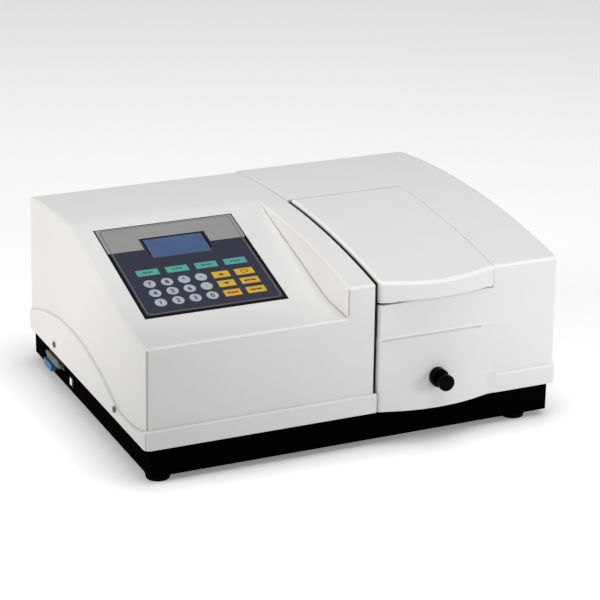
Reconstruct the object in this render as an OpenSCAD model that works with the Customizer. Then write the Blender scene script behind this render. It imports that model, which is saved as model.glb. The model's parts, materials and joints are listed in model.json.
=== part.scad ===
// Bench spectrophotometer with a keypad on a sloping deck at the left and a lidded sample
// compartment at the right. Millimetres, +Z up, X to the right, the operator at -Y.
// Origin: on the bench under the middle of the instrument's bounding box.

/* [Casing] */
// Width over the lower skirts of both covers
case_width = 480; // [476:1:490]
// Depth from the front skirt to the rear skirt
case_depth = 381; // [380:1:392]
// Height of the black pan below the covers
pan_height = 33; // [32:1:38]
// Height of the rubber feet
foot_height = 7; // [6:1:10]
// Height of the proud lower skirt of the covers
skirt_height = 21.4; // [20:0.2:22]
// How far the skirt stands out from the wall above it
skirt_step = 2.5; // [2:0.1:2.8]
// Wall thickness of the moulded covers
wall = 3; // [2.6:0.1:3.2]
// Inward lean of the upright walls
draft = 0.6; // [0:0.1:0.7]
// Radius of the arched top, front to rear
arch_radius = 1170; // [1150:10:1190]
// Apex height of the arch on the left cover, over the cover's lower edge
left_apex = 166.5; // [166:0.1:167]
// Apex height of the arch on the lid and right cover
right_apex = 168; // [167.8:0.1:168.4]

/* [Sloping deck] */
// Slope of the deck that carries the display and the keys
deck_slope = 16.087; // [15.8:0.01:16.3]
// Height at which the deck's plane meets the front skirt's plane
deck_base = 97.7; // [97:0.1:98.5]
// Left face of the raised rib between the deck and the lid
rib_left = 228; // [226:0.5:229]
// Right face of the rib
rib_right = 257.5; // [257:0.1:257.8]
// Height of the edge where the deck turns down into the front face
crease_height = 110; // [109.5:0.1:110.5]

/* [Keypad] */
// Width of the keypad overlay
overlay_width = 160.5; // [159:0.5:162]
// Length of the overlay, up the slope
overlay_length = 163.5; // [162:0.5:165]
// Travel of every key
key_travel = 0.4; // [0.3:0.05:0.45]
// Diameter of the round number keys
number_key_diameter = 13; // [12:0.2:13.6]

/* [Lid and sample compartment] */
// Left face of the lid
lid_left = 262; // [261.8:0.1:262.4]
// Right face of the lid
lid_right = 397; // [396.6:0.1:397.2]
// Rear edge of the lid
lid_rear = 227.6; // [227:0.1:227.7]
// Height of the lower edge of the lid's front lip
lip_height = 122.3; // [122:0.1:124]
// How far the front bows out in its middle
bow = 11.6; // [10:0.1:12]
// Radius of the bowed front, seen from above
bow_radius = 185; // [180:1:190]
// Height of the lower edge of the flat band below the lid
band_height = 80; // [76:1:84]
// Pitch of the four cuvette wells
well_pitch = 20; // [18:0.5:21]
// Clear width of a cuvette well
well_width = 12.8; // [12.6:0.1:13.2]
// Stroke of the pull rod
rod_stroke = 60; // [54:1:62]
// Diameter of the pull rod
rod_diameter = 8; // [7:0.5:9]
// Diameter of the knob on the pull rod
knob_diameter = 18; // [17:0.5:20]

/* [Optics] */
// Height of the light beam
beam_height = 62; // [61:0.5:63]
// Distance of the beam behind the front skirt
beam_depth = 100; // [98:1:102]
// Diameter of the filter wheel
filter_wheel_diameter = 44; // [40:1:46]

/* [Hidden] */
$fn = 64;
gap = 0.3;
knob_reach = 26.5;
case_y = -(case_depth - knob_reach) / 2;
case_z = pan_height + foot_height;
pan_inset = 7;
pan_rear_inset = 2;
pan_wall = 1.5;
pan_rim = 17;
arch_depth = 234.6;
deck_bend = 238.5;
ledge_depth = 55;
rear_skirt_height = 18.6;
skirt_end = 260.5;
side_screw_y = [89.6, 286];
side_screw_z = 11.5;
bench_bottom = 3;
right_left = 262;
lid_opening_right = lid_right + 0.4;
lid_opening_rear = lid_rear + 1.8;
sill = 117;
bow_centre = 329;
deck_cos = cos(deck_slope);
overlay_left = 26.4;
overlay_foot = 68.8;
overlay_thick = 1;
overlay_proud = 0.2;
hinge_y = 208;
hinge_z = 160.8;
rod_x = 330;
rod_z = 32.6;
bush_diameter = 20.5;
box_left = 275;
box_right = 385;
box_front = 14;
box_rear = 202;
box_floor = 20;
box_wall = 2;
bench_top = 12;
big = 1200;

// opening under the keys and clear window of the display: place and size on the deck
key_field = [36, 82, 138, 76];
window = [72.5, 170, 68, 35];

hinge_posts = [266.2, 388.8];
panel_right = 404;
foot_x = [21.5, 439];
foot_y = [21.5, 350];
foot_diameter = 28;
bench_boss_x = [34, 190, 446];
bench_boss_y = [44, 358];
bench_x = [20, 460];
bench_y = [30, 366];

fan_x = 66;
fan_z = 64;
fan_size = 60;
lamp_left = 24;
lamp_right = 108;
lamp_front = 240;
lamp_rear = 350;
lamp_top = 95;
source_x = 88;
source_y = 290;
mono_left = 140;
mono_right = 252;
mono_front = 62;
mono_rear = 330;
mono_top = 95;
mono_wall = 4;
grating_x = 200;
grating_y = 160;
filter_x = 132.5;
filter_ring = 17;
filter_y = source_y - filter_ring;
motor_size = 28;
motor_length = 20;

board_z = -28;
parallel_y = 277;
parallel_z = -20;
parallel_size = [12, 54, 12.4];
serial_y = 305;
serial_z = -31;
serial_size = [14, 31, 10];
usb_y = 243;
usb_z = -26;
usb_size = [14, 12, 11];
inlet_x = 368;
inlet_z = -29.5;
inlet_size = [58, 34, 24];

key_columns = [52.0, 71.4, 90.6, 109.8];
key_rows = [125.8, 109.2, 92.2];
command_columns = [132.6, 159.4];
command_width = [19, 21];
function_columns = [57, 90.3, 123.4, 156.8];
function_row = 145.8;
function_size = [25, 10.5];
command_height = 11;

// ---- frames -------------------------------------------------------------------------------

// The casing's own frame: X from the left skirt, Y from the front skirt, Z from the cover's edge
module in_case() translate([-case_width / 2, case_y, case_z]) children();

// The deck's frame: Y up the slope, Z out of the deck
module on_deck() translate([0, 0, deck_base]) rotate([deck_slope, 0, 0]) children();

// A bar or disc along X, Y or Z from the given centre of its first face
module along_x(p, d, l) translate(p) rotate([0, 90, 0]) cylinder(d = d, h = l);
module along_y(p, d, l) translate(p) rotate([-90, 0, 0]) cylinder(d = d, h = l);
module along_z(p, d, l) translate(p) cylinder(d = d, h = l);

// A block between two corners
module block(a, b) translate(a) cube(b - a);

// ---- covers -------------------------------------------------------------------------------

// Everything under the arched top, t inside its skin
module under_arch(apex, t)
    translate([-10, arch_depth, apex - arch_radius])
        rotate([0, 90, 0]) cylinder(r = arch_radius - t, h = case_width + 20, $fn = 256);

// The upright walls of a cover from x0 to x1, leaning inwards, t inside their skin
module walls(x0, x1, t, lean_left, lean_right) {
    inset = skirt_step + t;
    intersection() {
        block([x0, inset, t > 0 ? -1 : 0], [x1, case_depth - inset, 200]);
        translate([-big / 2, inset, skirt_height]) rotate([-draft, 0, 0])
            translate([0, 0, -big / 2]) cube(big);
        translate([-big / 2, case_depth - inset, skirt_height]) rotate([draft, 0, 0])
            translate([0, -big, -big / 2]) cube(big);
        if (lean_left)
            translate([x0, -big / 2, skirt_height]) rotate([0, draft, 0])
                translate([0, 0, -big / 2]) cube(big);
        if (lean_right)
            translate([x1, -big / 2, skirt_height]) rotate([0, -draft, 0])
                translate([-big, 0, -big / 2]) cube(big);
    }
}

// Side view of what the sloping deck and its front ledge leave under them, t inside the skin
module under_deck(t) {
    ledge_top = deck_base + ledge_depth * tan(deck_slope);
    polygon([[-10, -60], [case_depth + 10, -60], [case_depth + 10, 260], [deck_bend, 260],
             [deck_bend, deck_base + deck_bend * tan(deck_slope) - t / deck_cos],
             [ledge_depth + t / 8, ledge_top - t],
             [skirt_step + 1, crease_height - t], [-10, crease_height - t]]);
}

// The left cover's solid, t inside its skin
module left_solid(t)
    difference() {
        intersection() {
            under_arch(left_apex, t);
            walls(skirt_step + t, rib_right - t, t, true, false);
        }
        difference() {
            block([-10, -10, 40], [rib_left + t, deck_bend, 200]);
            translate([-20, 0, 0]) rotate([90, 0, 90]) linear_extrude(case_width)
                under_deck(t);
        }
    }

// Side view of the lower trim: a long arch over the middle that dips towards the front
module side_trim_outline() {
    trim_radius = 355;
    trim_apex = 49;
    dip_radius = 201;
    dip_height = 12.2;
    meeting = 86;
    intersection() {
        translate([arch_depth + 6, trim_apex - trim_radius]) circle(r = trim_radius, $fn = 256);
        translate([meeting, 0]) square([case_depth - meeting, 60]);
    }
    difference() {
        square([meeting + 10, skirt_height]);
        translate([62, dip_height + dip_radius]) circle(r = dip_radius, $fn = 256);
    }
}
module side_trim() rotate([90, 0, 90]) linear_extrude(skirt_step + 1) side_trim_outline();
module mirrored_trim() translate([case_width, 0, 0]) mirror([1, 0, 0]) side_trim();

// Row of upright louvres in the rear wall
module rear_louvres(x0) {
    louvre_pitch = 8;
    for (i = [0 : 11])
        block([x0 + i * louvre_pitch, case_depth - 12, 60],
              [x0 + 3 + i * louvre_pitch, case_depth + 1, 100]);
}

// Finger guard over the fan: rings on a cross of bars, moulded into the rear wall
module fan_guard()
    translate([fan_x, case_depth - skirt_step - 3.6, fan_z]) rotate([-90, 0, 0]) {
        for (r = [7, 14, 21])
            difference() {
                cylinder(r = r + 1, h = 2.4);
                translate([0, 0, -1]) cylinder(r = r - 1, h = 5);
            }
        for (a = [0 : 45 : 135])
            rotate(a) block([-fan_size / 2, -1, 0], [fan_size / 2, 1, 2.4]);
    }

module deck_hole(u, v, w, l, z0, z1) on_deck() block([u, v, z0], [u + w, v + l, z1]);

module left_cover() {
    color([0.88, 0.88, 0.86]) in_case() difference() {
        union() {
            left_solid(0);
            block([0, 0, 0], [skirt_end, skirt_step + 1, skirt_height]);
            block([0, case_depth - skirt_step - 1, 0], [rib_right, case_depth, rear_skirt_height]);
            side_trim();
        }
        left_solid(wall);
        // seat of the overlay, and the openings under its keys and its window
        deck_hole(overlay_left - gap, overlay_foot - gap, overlay_width + 2 * gap,
                  overlay_length + 2 * gap, overlay_proud - overlay_thick, 6);
        deck_hole(key_field[0], key_field[1], key_field[2], key_field[3], -20, 0);
        deck_hole(window[0] - 4, window[1] - 5, window[2] + 8, window[3] + 10, -20, 0);
        // the inner wall stands clear of the optical bench and lets the beam through
        block([rib_right - 5, pan_inset - gap, -1],
              [rib_right + 1, case_depth - pan_inset - 1 + gap, pan_rim + gap]);
        along_x([rib_right - 10, beam_depth, beam_height], 24, 20);
        difference() {
            along_y([fan_x, case_depth - 12, fan_z], fan_size - 4, 20);
            fan_guard();
        }
        rear_louvres(140);
        for (y = side_screw_y)
            along_x([-1, y, side_screw_z], 3.4, 12);
    }
}

// The right cover's outer block, t inside its skin
module right_solid(t)
    intersection() {
        under_arch(right_apex, t);
        walls(right_left + t, case_width - skirt_step - t, t, false, true);
    }

// How far the front bows out at x: an arc that runs out in a short reverse curve at each end
function bow_at(x) =
    let (d = abs(x - bow_centre), turn = 55, c = sqrt(bow_radius * bow_radius - turn * turn))
    d <= turn ? sqrt(bow_radius * bow_radius - d * d) - bow_radius + bow
    : let (b = c - bow_radius + bow, e = (d - turn) * turn / c / (2 * b))
      e >= 1 ? 0 : b * (1 - e) * (1 - e);

// The lower front panel's skin: flat just under the band and fully bowed at its lower edge
function panel_y(x, z) =
    let (k = z / band_height, fade = min(1, max(0, (398 - x) / 38)))
    k * (skirt_step + 1 + 1.8 * fade) - (1 - k) * bow_at(x);

// The lower front panel, a curved plate as thick as the wall
module bowed_panel(x0, x1) {
    nx = 28;
    nz = 4;
    n = nx + 1;
    m = n * (nz + 1);
    pts = [for (side = [0, 1]) for (j = [0 : nz]) for (i = [0 : nx])
        let (x = x0 + (x1 - x0) * i / nx, z = band_height * j / nz)
            [x, panel_y(x, z) + side * wall, z]];
    faces = concat(
        [for (j = [0 : nz - 1]) for (i = [0 : nx - 1]) let (a = j * n + i) [a, a + n, a + 1]],
        [for (j = [0 : nz - 1]) for (i = [0 : nx - 1]) let (a = j * n + i)
            [a + 1, a + n, a + n + 1]],
        [for (j = [0 : nz - 1]) for (i = [0 : nx - 1]) let (a = m + j * n + i)
            [a, a + 1, a + n]],
        [for (j = [0 : nz - 1]) for (i = [0 : nx - 1]) let (a = m + j * n + i)
            [a + 1, a + n + 1, a + n]],
        [for (i = [0 : nx - 1]) [i, i + 1, m + i + 1]],
        [for (i = [0 : nx - 1]) [i, m + i + 1, m + i]],
        [for (i = [0 : nx - 1]) let (a = nz * n + i) [a, m + a, m + a + 1]],
        [for (i = [0 : nx - 1]) let (a = nz * n + i) [a, m + a + 1, a + 1]],
        [concat([for (j = [nz : -1 : 0]) j * n], [for (j = [0 : nz]) m + j * n])],
        [concat([for (j = [0 : nz]) j * n + nx], [for (j = [nz : -1 : 0]) m + j * n + nx])]);
    polyhedron(points = pts, faces = faces, convexity = 6);
}

// A post that stands on the sill and holds one hinge pin
module hinge_post(x) {
    difference() {
        union() {
            block([x, hinge_y - 5, sill - wall], [x + 4, hinge_y + 3, hinge_z]);
            block([x, hinge_y - 5, sill - wall], [x + 4, hinge_y + 12, sill + 6]);
            along_x([x, hinge_y - 1, hinge_z], 6.6, 4);
        }
        along_x([x - 1, hinge_y, hinge_z], 4, 6);
    }
}

module right_cover() {
    color([0.88, 0.88, 0.86]) in_case() {
        difference() {
            union() {
                difference() {
                    union() {
                        right_solid(0);
                        block([panel_right, 0, 0], [case_width, skirt_step + 1, skirt_height]);
                        block([rib_right + 0.4, case_depth - skirt_step - 1, 0],
                              [case_width, case_depth, rear_skirt_height]);
                        mirrored_trim();
                    }
                    right_solid(wall);
                    block([right_left - 1, -20, sill],
                          [lid_opening_right, lid_opening_rear, 200]);
                }
                // strip behind the lid that reaches across to the left cover
                intersection() {
                    under_arch(right_apex, 0);
                    walls(rib_right + 0.4, right_left + 1, 0, false, false);
                    block([0, lid_opening_rear, 0], [400, case_depth, 200]);
                }
                // sill and walls of the lid's opening
                difference() {
                    intersection() {
                        right_solid(0.5);
                        block([right_left, skirt_step, sill - wall],
                              [lid_opening_right + wall, lid_opening_rear + wall, 200]);
                    }
                    block([right_left - 1, -20, sill],
                          [lid_opening_right, lid_opening_rear, 200]);
                }
                for (x = hinge_posts)
                    hinge_post(x);
            }
            block([box_left - gap, box_front - gap, 60], [box_right + gap, box_rear + gap, 130]);
            block([right_left - 1, -20, -1], [panel_right, skirt_step + wall + 2, band_height]);
            block([rib_right, pan_inset - gap, -1],
                  [right_left + 4, case_depth - pan_inset - 1 + gap, pan_rim + gap]);
            along_x([right_left - 5, beam_depth, beam_height], 24, 12);
            for (y = side_screw_y)
                along_x([case_width - 11, y, side_screw_z], 3.4, 12);
            rear_louvres(300);
        }
        difference() {
            bowed_panel(right_left, panel_right);
            along_y([rod_x, -30, rod_z], bush_diameter + 0.2, 60);
        }
        // the bow's floor, and its end beside the left cover
        linear_extrude(2.5)
            polygon(concat([for (x = [right_left : 4 : panel_right]) [x, panel_y(x, 0) + 1]],
                           [[panel_right, pan_inset - 0.4], [right_left, pan_inset - 0.4]]));
        translate([right_left, 0, 0]) rotate([90, 0, 90]) linear_extrude(wall)
            polygon([[panel_y(right_left, 0) + 1, 0], [pan_inset - 0.4, 0],
                     [pan_inset - 0.4, pan_rim + 1], [9, pan_rim + 1], [9, band_height],
                     [panel_y(right_left, band_height) + 1, band_height]]);
    }
}

// ---- base ---------------------------------------------------------------------------------

module foot_at() for (x = foot_x) for (y = foot_y) translate([x, y, -pan_height]) children();

module base_pan() {
    vent_pitch = 14;
    inner = pan_inset + pan_wall;
    color([0.05, 0.05, 0.055]) in_case() difference() {
        union() {
            block([pan_inset, pan_inset, -pan_height],
                  [case_width - pan_inset, case_depth - pan_rear_inset, 0]);
            block([pan_inset, pan_inset, -pan_height],
                  [case_width - pan_inset, case_depth - pan_inset - 1, pan_rim]);
        }
        block([inner, inner, -pan_height + pan_wall],
              [case_width - inner, case_depth - pan_rear_inset - pan_wall, -pan_wall]);
        block([inner, inner, -pan_wall - 1],
              [case_width - inner, case_depth - inner - 1, pan_rim + 1]);
        foot_at() translate([0, 0, -1]) cylinder(d = 4.4, h = 5);
        for (i = [0 : 9])
            block([200 + i * vent_pitch, 150, -pan_height - 1],
                  [205 + i * vent_pitch, 230, -pan_height + 4]);
        // openings for the data sockets on the left and the mains inlet at the rear
        block([0, parallel_y - 1, parallel_z - 1],
              [20, parallel_y + parallel_size[1] + 1, parallel_z + parallel_size[2] + 1]);
        block([0, serial_y - 0.5, serial_z - 0.5],
              [20, serial_y + serial_size[1] + 0.5, serial_z + serial_size[2] + 0.5]);
        block([0, usb_y - 0.5, usb_z - 0.5],
              [20, usb_y + usb_size[1] + 0.5, usb_z + usb_size[2] + 0.5]);
        block([inlet_x - gap, case_depth - 40, inlet_z - gap],
              [inlet_x + inlet_size[0] + gap, case_depth + 1, inlet_z + inlet_size[2] + gap]);
        for (x = [pan_inset - 1, case_width - inner - 1]) for (y = side_screw_y)
            along_x([x, y, side_screw_z], 4, 4);
    }
}

module rubber_feet()
    color([0.04, 0.04, 0.04]) in_case() foot_at() difference() {
        translate([0, 0, -foot_height]) cylinder(d1 = foot_diameter - 3, d2 = foot_diameter,
                                                 h = foot_height);
        translate([0, 0, -foot_height - 1]) cylinder(d = 9, h = 5);
        translate([0, 0, -foot_height - 1]) cylinder(d = 4.4, h = foot_height + 2);
    }

module screw(head, length) {
    translate([0, 0, -2.4]) cylinder(d = head, h = 2.4);
    translate([0, 0, -0.01]) cylinder(d = 3, h = length);
}

module case_screws()
    color([0.45, 0.45, 0.47]) in_case() {
        foot_at() translate([0, 0, -foot_height + 4]) screw(7, 12);
        for (y = side_screw_y) {
            translate([0, y, side_screw_z]) rotate([0, 90, 0]) side_screw();
            translate([case_width, y, side_screw_z]) rotate([0, -90, 0]) side_screw();
        }
    }
module side_screw() difference() {
    union() {
        translate([0, 0, -1.6]) cylinder(d = 7, h = 1.6);
        translate([0, 0, -0.01]) cylinder(d = 3, h = 12);
    }
    block([-0.5, -2.5, -2], [0.5, 2.5, -0.8]);
    block([-2.5, -0.5, -2], [2.5, 0.5, -0.8]);
}

// Cast plate on six bosses; every optical part stands on it
module optical_bench()
    color([0.55, 0.56, 0.58]) in_case() difference() {
        union() {
            block([bench_x[0], bench_y[0], bench_bottom], [bench_x[1], bench_y[1], bench_top]);
            // stand of the filter motor
            block([filter_x - 21, filter_y - 12, bench_bottom],
                  [filter_x - 5, filter_y + 12, beam_height - motor_size / 2]);
            for (x = bench_boss_x) for (y = bench_boss_y)
                along_z([x, y, -pan_height + pan_wall], 14, pan_height + bench_bottom);
        }
        for (x = [100, 330, 430]) for (y = [60, 160])
            block([x - 15, y, bench_bottom - 1], [x + 15, y + 60, bench_top + 1]);
        along_z([grating_x, grating_y, bench_bottom - 1], 12, 20);
        for (x = bench_boss_x) for (y = bench_boss_y)
            along_z([x, y, bench_top - 6], 3.4, 7);
    }

// ---- lid ----------------------------------------------------------------------------------

module lid_outline(t) {
    front = skirt_step + 1;
    translate([lid_left + t, front + t])
        square([lid_right - lid_left - 2 * t, lid_rear - front - 2 * t]);
    intersection() {
        translate([bow_centre, front - bow + bow_radius])
            circle(r = bow_radius - t, $fn = 256);
        translate([lid_left + t, -30]) square([lid_right - lid_left - 2 * t, 60]);
    }
}

module hinge_barrel() along_x([lid_left - 1, hinge_y, hinge_z], 84, lid_right - lid_left + 2);

module lid_shell()
    color([0.88, 0.88, 0.86]) in_case() difference() {
        intersection() {
            under_arch(right_apex, 0);
            translate([0, 0, sill + 1]) linear_extrude(100) lid_outline(0);
        }
        // hollow, with the seal's carrier left standing in it
        difference() {
            intersection() {
                under_arch(right_apex, wall);
                translate([0, 0, sill - 1]) linear_extrude(100) lid_outline(wall);
            }
            block([lid_left, 12, 124], [lid_right, 197, 126.5]);
        }
        // the front lip ends higher than the side walls
        block([lid_left - 1, -30, 0], [lid_right + 1, 30, lip_height]);
        // the rear corner clears the sill as the lid opens
        difference() {
            block([lid_left - 1, hinge_y, 0], [lid_right + 1, lid_rear + 1, 158]);
            hinge_barrel();
        }
        block([lid_left + wall, lid_rear - 8, 0], [lid_right - wall, lid_rear + 1, 158]);
        // notches in the rear wall swing past the hinge posts
        for (x = hinge_posts)
            block([x - 0.8, lid_rear - 8, 150], [x + 4.8, lid_rear + 1, hinge_z + 2]);
        for (x = [lid_left - 1, lid_right - wall - 1])
            along_x([x, hinge_y, hinge_z], 4.12, wall + 2);
    }

module hinge_pins()
    color([0.12, 0.12, 0.13]) in_case() {
        along_x([lid_left - 1.8, hinge_y, hinge_z], 4, hinge_posts[0] + 4 - lid_left + 1.8);
        along_x([lid_left - 1.8, hinge_y, hinge_z], 6, 1.4);
        along_x([hinge_posts[1], hinge_y, hinge_z], 4, lid_right - hinge_posts[1] - 0.2);
    }

module lid_seal()
    color([0.03, 0.03, 0.03]) in_case() difference() {
        block([box_left - 2, box_front - 1, sill + 1.8], [box_right + 2, 195, 124]);
        block([box_left + 4, box_front + 5, sill], [box_right - 4, 189, 125]);
    }

// ---- sample compartment --------------------------------------------------------------------

module sample_box()
    color([0.05, 0.05, 0.055]) in_case() difference() {
        union() {
            block([box_left, box_front, box_floor], [box_right, box_rear, sill]);
            block([box_left - 4, box_front - 5, sill], [box_right + 3.4, box_rear + 0.6, sill + 1.5]);
            along_x([box_left - 4, beam_depth, beam_height], 22, 5);
            along_x([box_right - 1, beam_depth, beam_height], 22, 5);
            for (x = [box_left + 10, box_right - 10]) for (y = [box_front + 16, box_rear - 16])
                along_z([x, y, bench_top], 10, box_floor - bench_top);
        }
        block([box_left + box_wall, box_front + box_wall, box_floor + box_wall],
              [box_right - box_wall, box_rear - box_wall, sill + 10]);
        along_x([box_left - 5, beam_depth, beam_height], 10, 10);
        along_x([box_right - 5, beam_depth, beam_height], 10, 12);
        along_x([box_left - 1.5, beam_depth, beam_height], 16.1, 10);
        along_x([box_right - 6, beam_depth, beam_height], 16.1, 7.5);
        along_y([rod_x, box_front - 1, rod_z], rod_diameter + 1, 5);
        for (x = rail_x)
            along_y([x, box_front - 1, rail_z], rail_diameter + 0.02, box_rear);
    }
rail_x = [rod_x - 14, rod_x + 14];
rail_z = 33.5;
rail_diameter = 6;

module window_lenses()
    color([0.75, 0.82, 0.86, 0.5]) in_case() {
        along_x([box_left - 1.5, beam_depth, beam_height], 16, 3);
        along_x([box_right - 1.5, beam_depth, beam_height], 16, 3);
    }

module guide_rails()
    color([0.7, 0.7, 0.72]) in_case()
        for (x = rail_x)
            along_y([x, box_front, rail_z], rail_diameter, box_rear - box_front);

module rod_bush()
    color([0.03, 0.03, 0.03]) in_case() difference() {
        union() {
            along_y([rod_x, -11.4, rod_z], bush_diameter, 13.9);
            along_y([rod_x, 2.4, rod_z], bush_diameter + 5, 2.6);
        }
        along_y([rod_x, -20, rod_z], rod_diameter + 0.1, 40);
    }

module cell_block() {
    front = beam_depth - well_pitch / 2 - 2;
    rear = beam_depth + 3.5 * well_pitch + 2;
    color([0.08, 0.08, 0.085]) in_case() difference() {
        union() {
            block([rod_x - 20, front - 4, rail_z - 7], [rod_x + 20, rear + 4, rail_z + 5.5]);
            block([rod_x - 12, front, rail_z + 5], [rod_x + 12, rear, beam_height + 14]);
        }
        for (x = rail_x)
            along_y([x, front - 10, rail_z], rail_diameter + 0.12, rear);
        along_y([rod_x, front - 10, rod_z], rod_diameter, 16);
        for (i = [0 : 3]) translate([rod_x, beam_depth + i * well_pitch, 0]) {
            block([-well_width / 2, -well_width / 2, beam_height - 16],
                  [well_width / 2, well_width / 2, beam_height + 20]);
            block([-20, -3, beam_height - 10], [20, 3, beam_height + 8]);
        }
    }
}

module pull_rod()
    color([0.72, 0.72, 0.74]) in_case()
        along_y([rod_x, -16, rod_z], rod_diameter, 16 + beam_depth - well_pitch / 2);

module rod_knob()
    color([0.02, 0.02, 0.02]) in_case() difference() {
        translate([rod_x, -knob_reach, rod_z]) rotate([-90, 0, 0]) rotate_extrude()
            polygon([[0, 0], [knob_diameter / 2 - 1.2, 0], [knob_diameter / 2 - 0.3, 0.4],
                     [knob_diameter / 2, 1.3], [knob_diameter / 2, 4.8],
                     [knob_diameter / 2 - 2, 8], [5.6, 9.6], [5.6, 12.6], [0, 12.6]]);
        along_y([rod_x, -16, rod_z], rod_diameter, 10);
    }

// ---- deck ----------------------------------------------------------------------------------

module key_holes(c) {
    for (u = key_columns) for (v = key_rows)
        on_deck() along_z([u, v, -3], number_key_diameter + 2 * c, 6);
    for (i = [0, 1]) for (v = key_rows)
        key_slot(command_columns[i], v, command_width[i], command_height, c);
    for (u = function_columns)
        key_slot(u, function_row, function_size[0], function_size[1], c);
}
module key_slot(u, v, w, l, c)
    on_deck() block([u - w / 2 - c, v - l / 2 - c, -3], [u + w / 2 + c, v + l / 2 + c, 3]);

module keypad_overlay()
    color([0.06, 0.07, 0.13]) in_case() difference() {
        on_deck() block([overlay_left, overlay_foot, overlay_proud - overlay_thick],
            [overlay_left + overlay_width, overlay_foot + overlay_length, overlay_proud]);
        key_holes(gap);
        on_deck() block([window[0], window[1], -3],
                        [window[0] + window[2], window[1] + window[3], 3]);
    }

key_bottom = -2.3;
flange_top = -1.1;
key_top = 0.5;
module round_key(u, v)
    color([0.75, 0.77, 0.8]) in_case() on_deck() {
        along_z([u, v, key_bottom], number_key_diameter + 1.4, flange_top - key_bottom);
        along_z([u, v, key_bottom], number_key_diameter, key_top - key_bottom);
    }
module flat_key(u, v, w, l) {
    in_case() on_deck() {
        block([u - w / 2 - 0.7, v - l / 2 - 0.7, key_bottom],
              [u + w / 2 + 0.7, v + l / 2 + 0.7, flange_top]);
        block([u - w / 2, v - l / 2, key_bottom], [u + w / 2, v + l / 2, key_top]);
    }
}
module command_key(i, j)
    color([0.85, 0.62, 0.05])
        flat_key(command_columns[i], key_rows[j], command_width[i], command_height);
module function_key(i)
    color([0.05, 0.5, 0.4])
        flat_key(function_columns[i], function_row, function_size[0], function_size[1]);

module keypad_board()
    color([0.08, 0.3, 0.16]) in_case() on_deck() difference() {
        union() {
            block([28, 76, -wall - 1.6], [182, 164, -wall]);
            block([90, 78, -wall - 6], [130, 84, -wall - 1.5]);
        }
        for (u = [31, 179]) for (v = [79, 161])
            along_z([u, v, -10], 3.2, 12);
    }

module display_module()
    color([0.1, 0.14, 0.3]) in_case() on_deck() {
        block([window[0] - 14, window[1] - 3, -8.6],
              [window[0] + window[2] + 14, window[1] + window[3] + 12, -7]);
        block([window[0] - 3, window[1] - 4, -7.1],
              [window[0] + window[2] + 3, window[1] + window[3] + 4, -1.2]);
        block([window[0] + 0.4, window[1] + 0.4, -1.3],
              [window[0] + window[2] - 0.4, window[1] + window[3] - 0.4, -0.5]);
        for (u = [window[0] - 9, window[0] + window[2] + 9])
            for (v = [window[1] + 2, window[1] + window[3] + 8])
                along_z([u, v, -7.1], 5, 7.1 - wall);
    }

// ---- electronics ---------------------------------------------------------------------------

module main_board() {
    top = board_z + 1.6;
    color([0.08, 0.32, 0.17]) in_case() {
        block([11, 212, board_z], [178, 344, top]);
        // processor, memory, relays and electrolytic capacitors
        block([90, 270, top - 0.1], [118, 298, top + 3]);
        for (i = [0 : 3])
            block([60 + i * 24, 240, top - 0.1], [70 + i * 24, 262, top + 4]);
        for (i = [0 : 2])
            block([130, 280 + i * 20, top - 0.1], [158, 294 + i * 20, top + 14]);
        for (i = [0 : 4])
            along_z([60 + i * 15, 328, top - 0.1], 10, 16);
        for (x = [18, 170]) for (y = [218, 338])
            along_z([x, y, -pan_height + pan_wall], 7, board_z + pan_height - pan_wall + 0.1);
    }
}

module power_supply()
    color([0.66, 0.67, 0.68]) in_case() difference() {
        union() {
            block([250, 240, -pan_height + pan_wall], [425, 335, -31 + 26]);
            block([425, 262, -22], [432, 320, -12]);
        }
        block([252, 242, -30], [423, 333, -6]);
        for (i = [0 : 9])
            block([268 + i * 14, 258, -10], [276 + i * 14, 316, 0]);
    }

module fan_frame()
    color([0.05, 0.05, 0.05]) in_case() translate([fan_x, fan_front, fan_z]) rotate([-90, 0, 0])
        difference() {
            union() {
                difference() {
                    block([-fan_size / 2, -fan_size / 2, 0], [fan_size / 2, fan_size / 2, 15]);
                    translate([0, 0, -1]) cylinder(d = fan_size - 4, h = 17);
                }
                cylinder(d = 24, h = 3);
                for (a = [45 : 120 : 359])
                    rotate(a) block([8, -2, 0], [fan_size / 2 - 1, 2, 2.4]);
            }
            translate([0, 0, -1]) cylinder(d = 4.1, h = 6);
            for (x = [-1, 1]) for (y = [-1, 1])
                translate([x * 25, y * 25, -1]) cylinder(d = 4.3, h = 17);
        }
fan_front = 359;

module fan_rotor() {
    blades = 7;
    color([0.08, 0.08, 0.08]) in_case() translate([fan_x, fan_front, fan_z]) rotate([-90, 0, 0]) {
        translate([0, 0, 3.4]) cylinder(d = 24, h = 10.6);
        translate([0, 0, 0.2]) cylinder(d = 4, h = 4);
        for (i = [0 : blades - 1])
            rotate(i * 360 / blades) translate([0, 0, 8.8]) rotate([38, 0, 0])
                block([10, -6.5, -0.8], [fan_size / 2 - 3.6, 6.5, 0.8]);
    }
}

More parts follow.
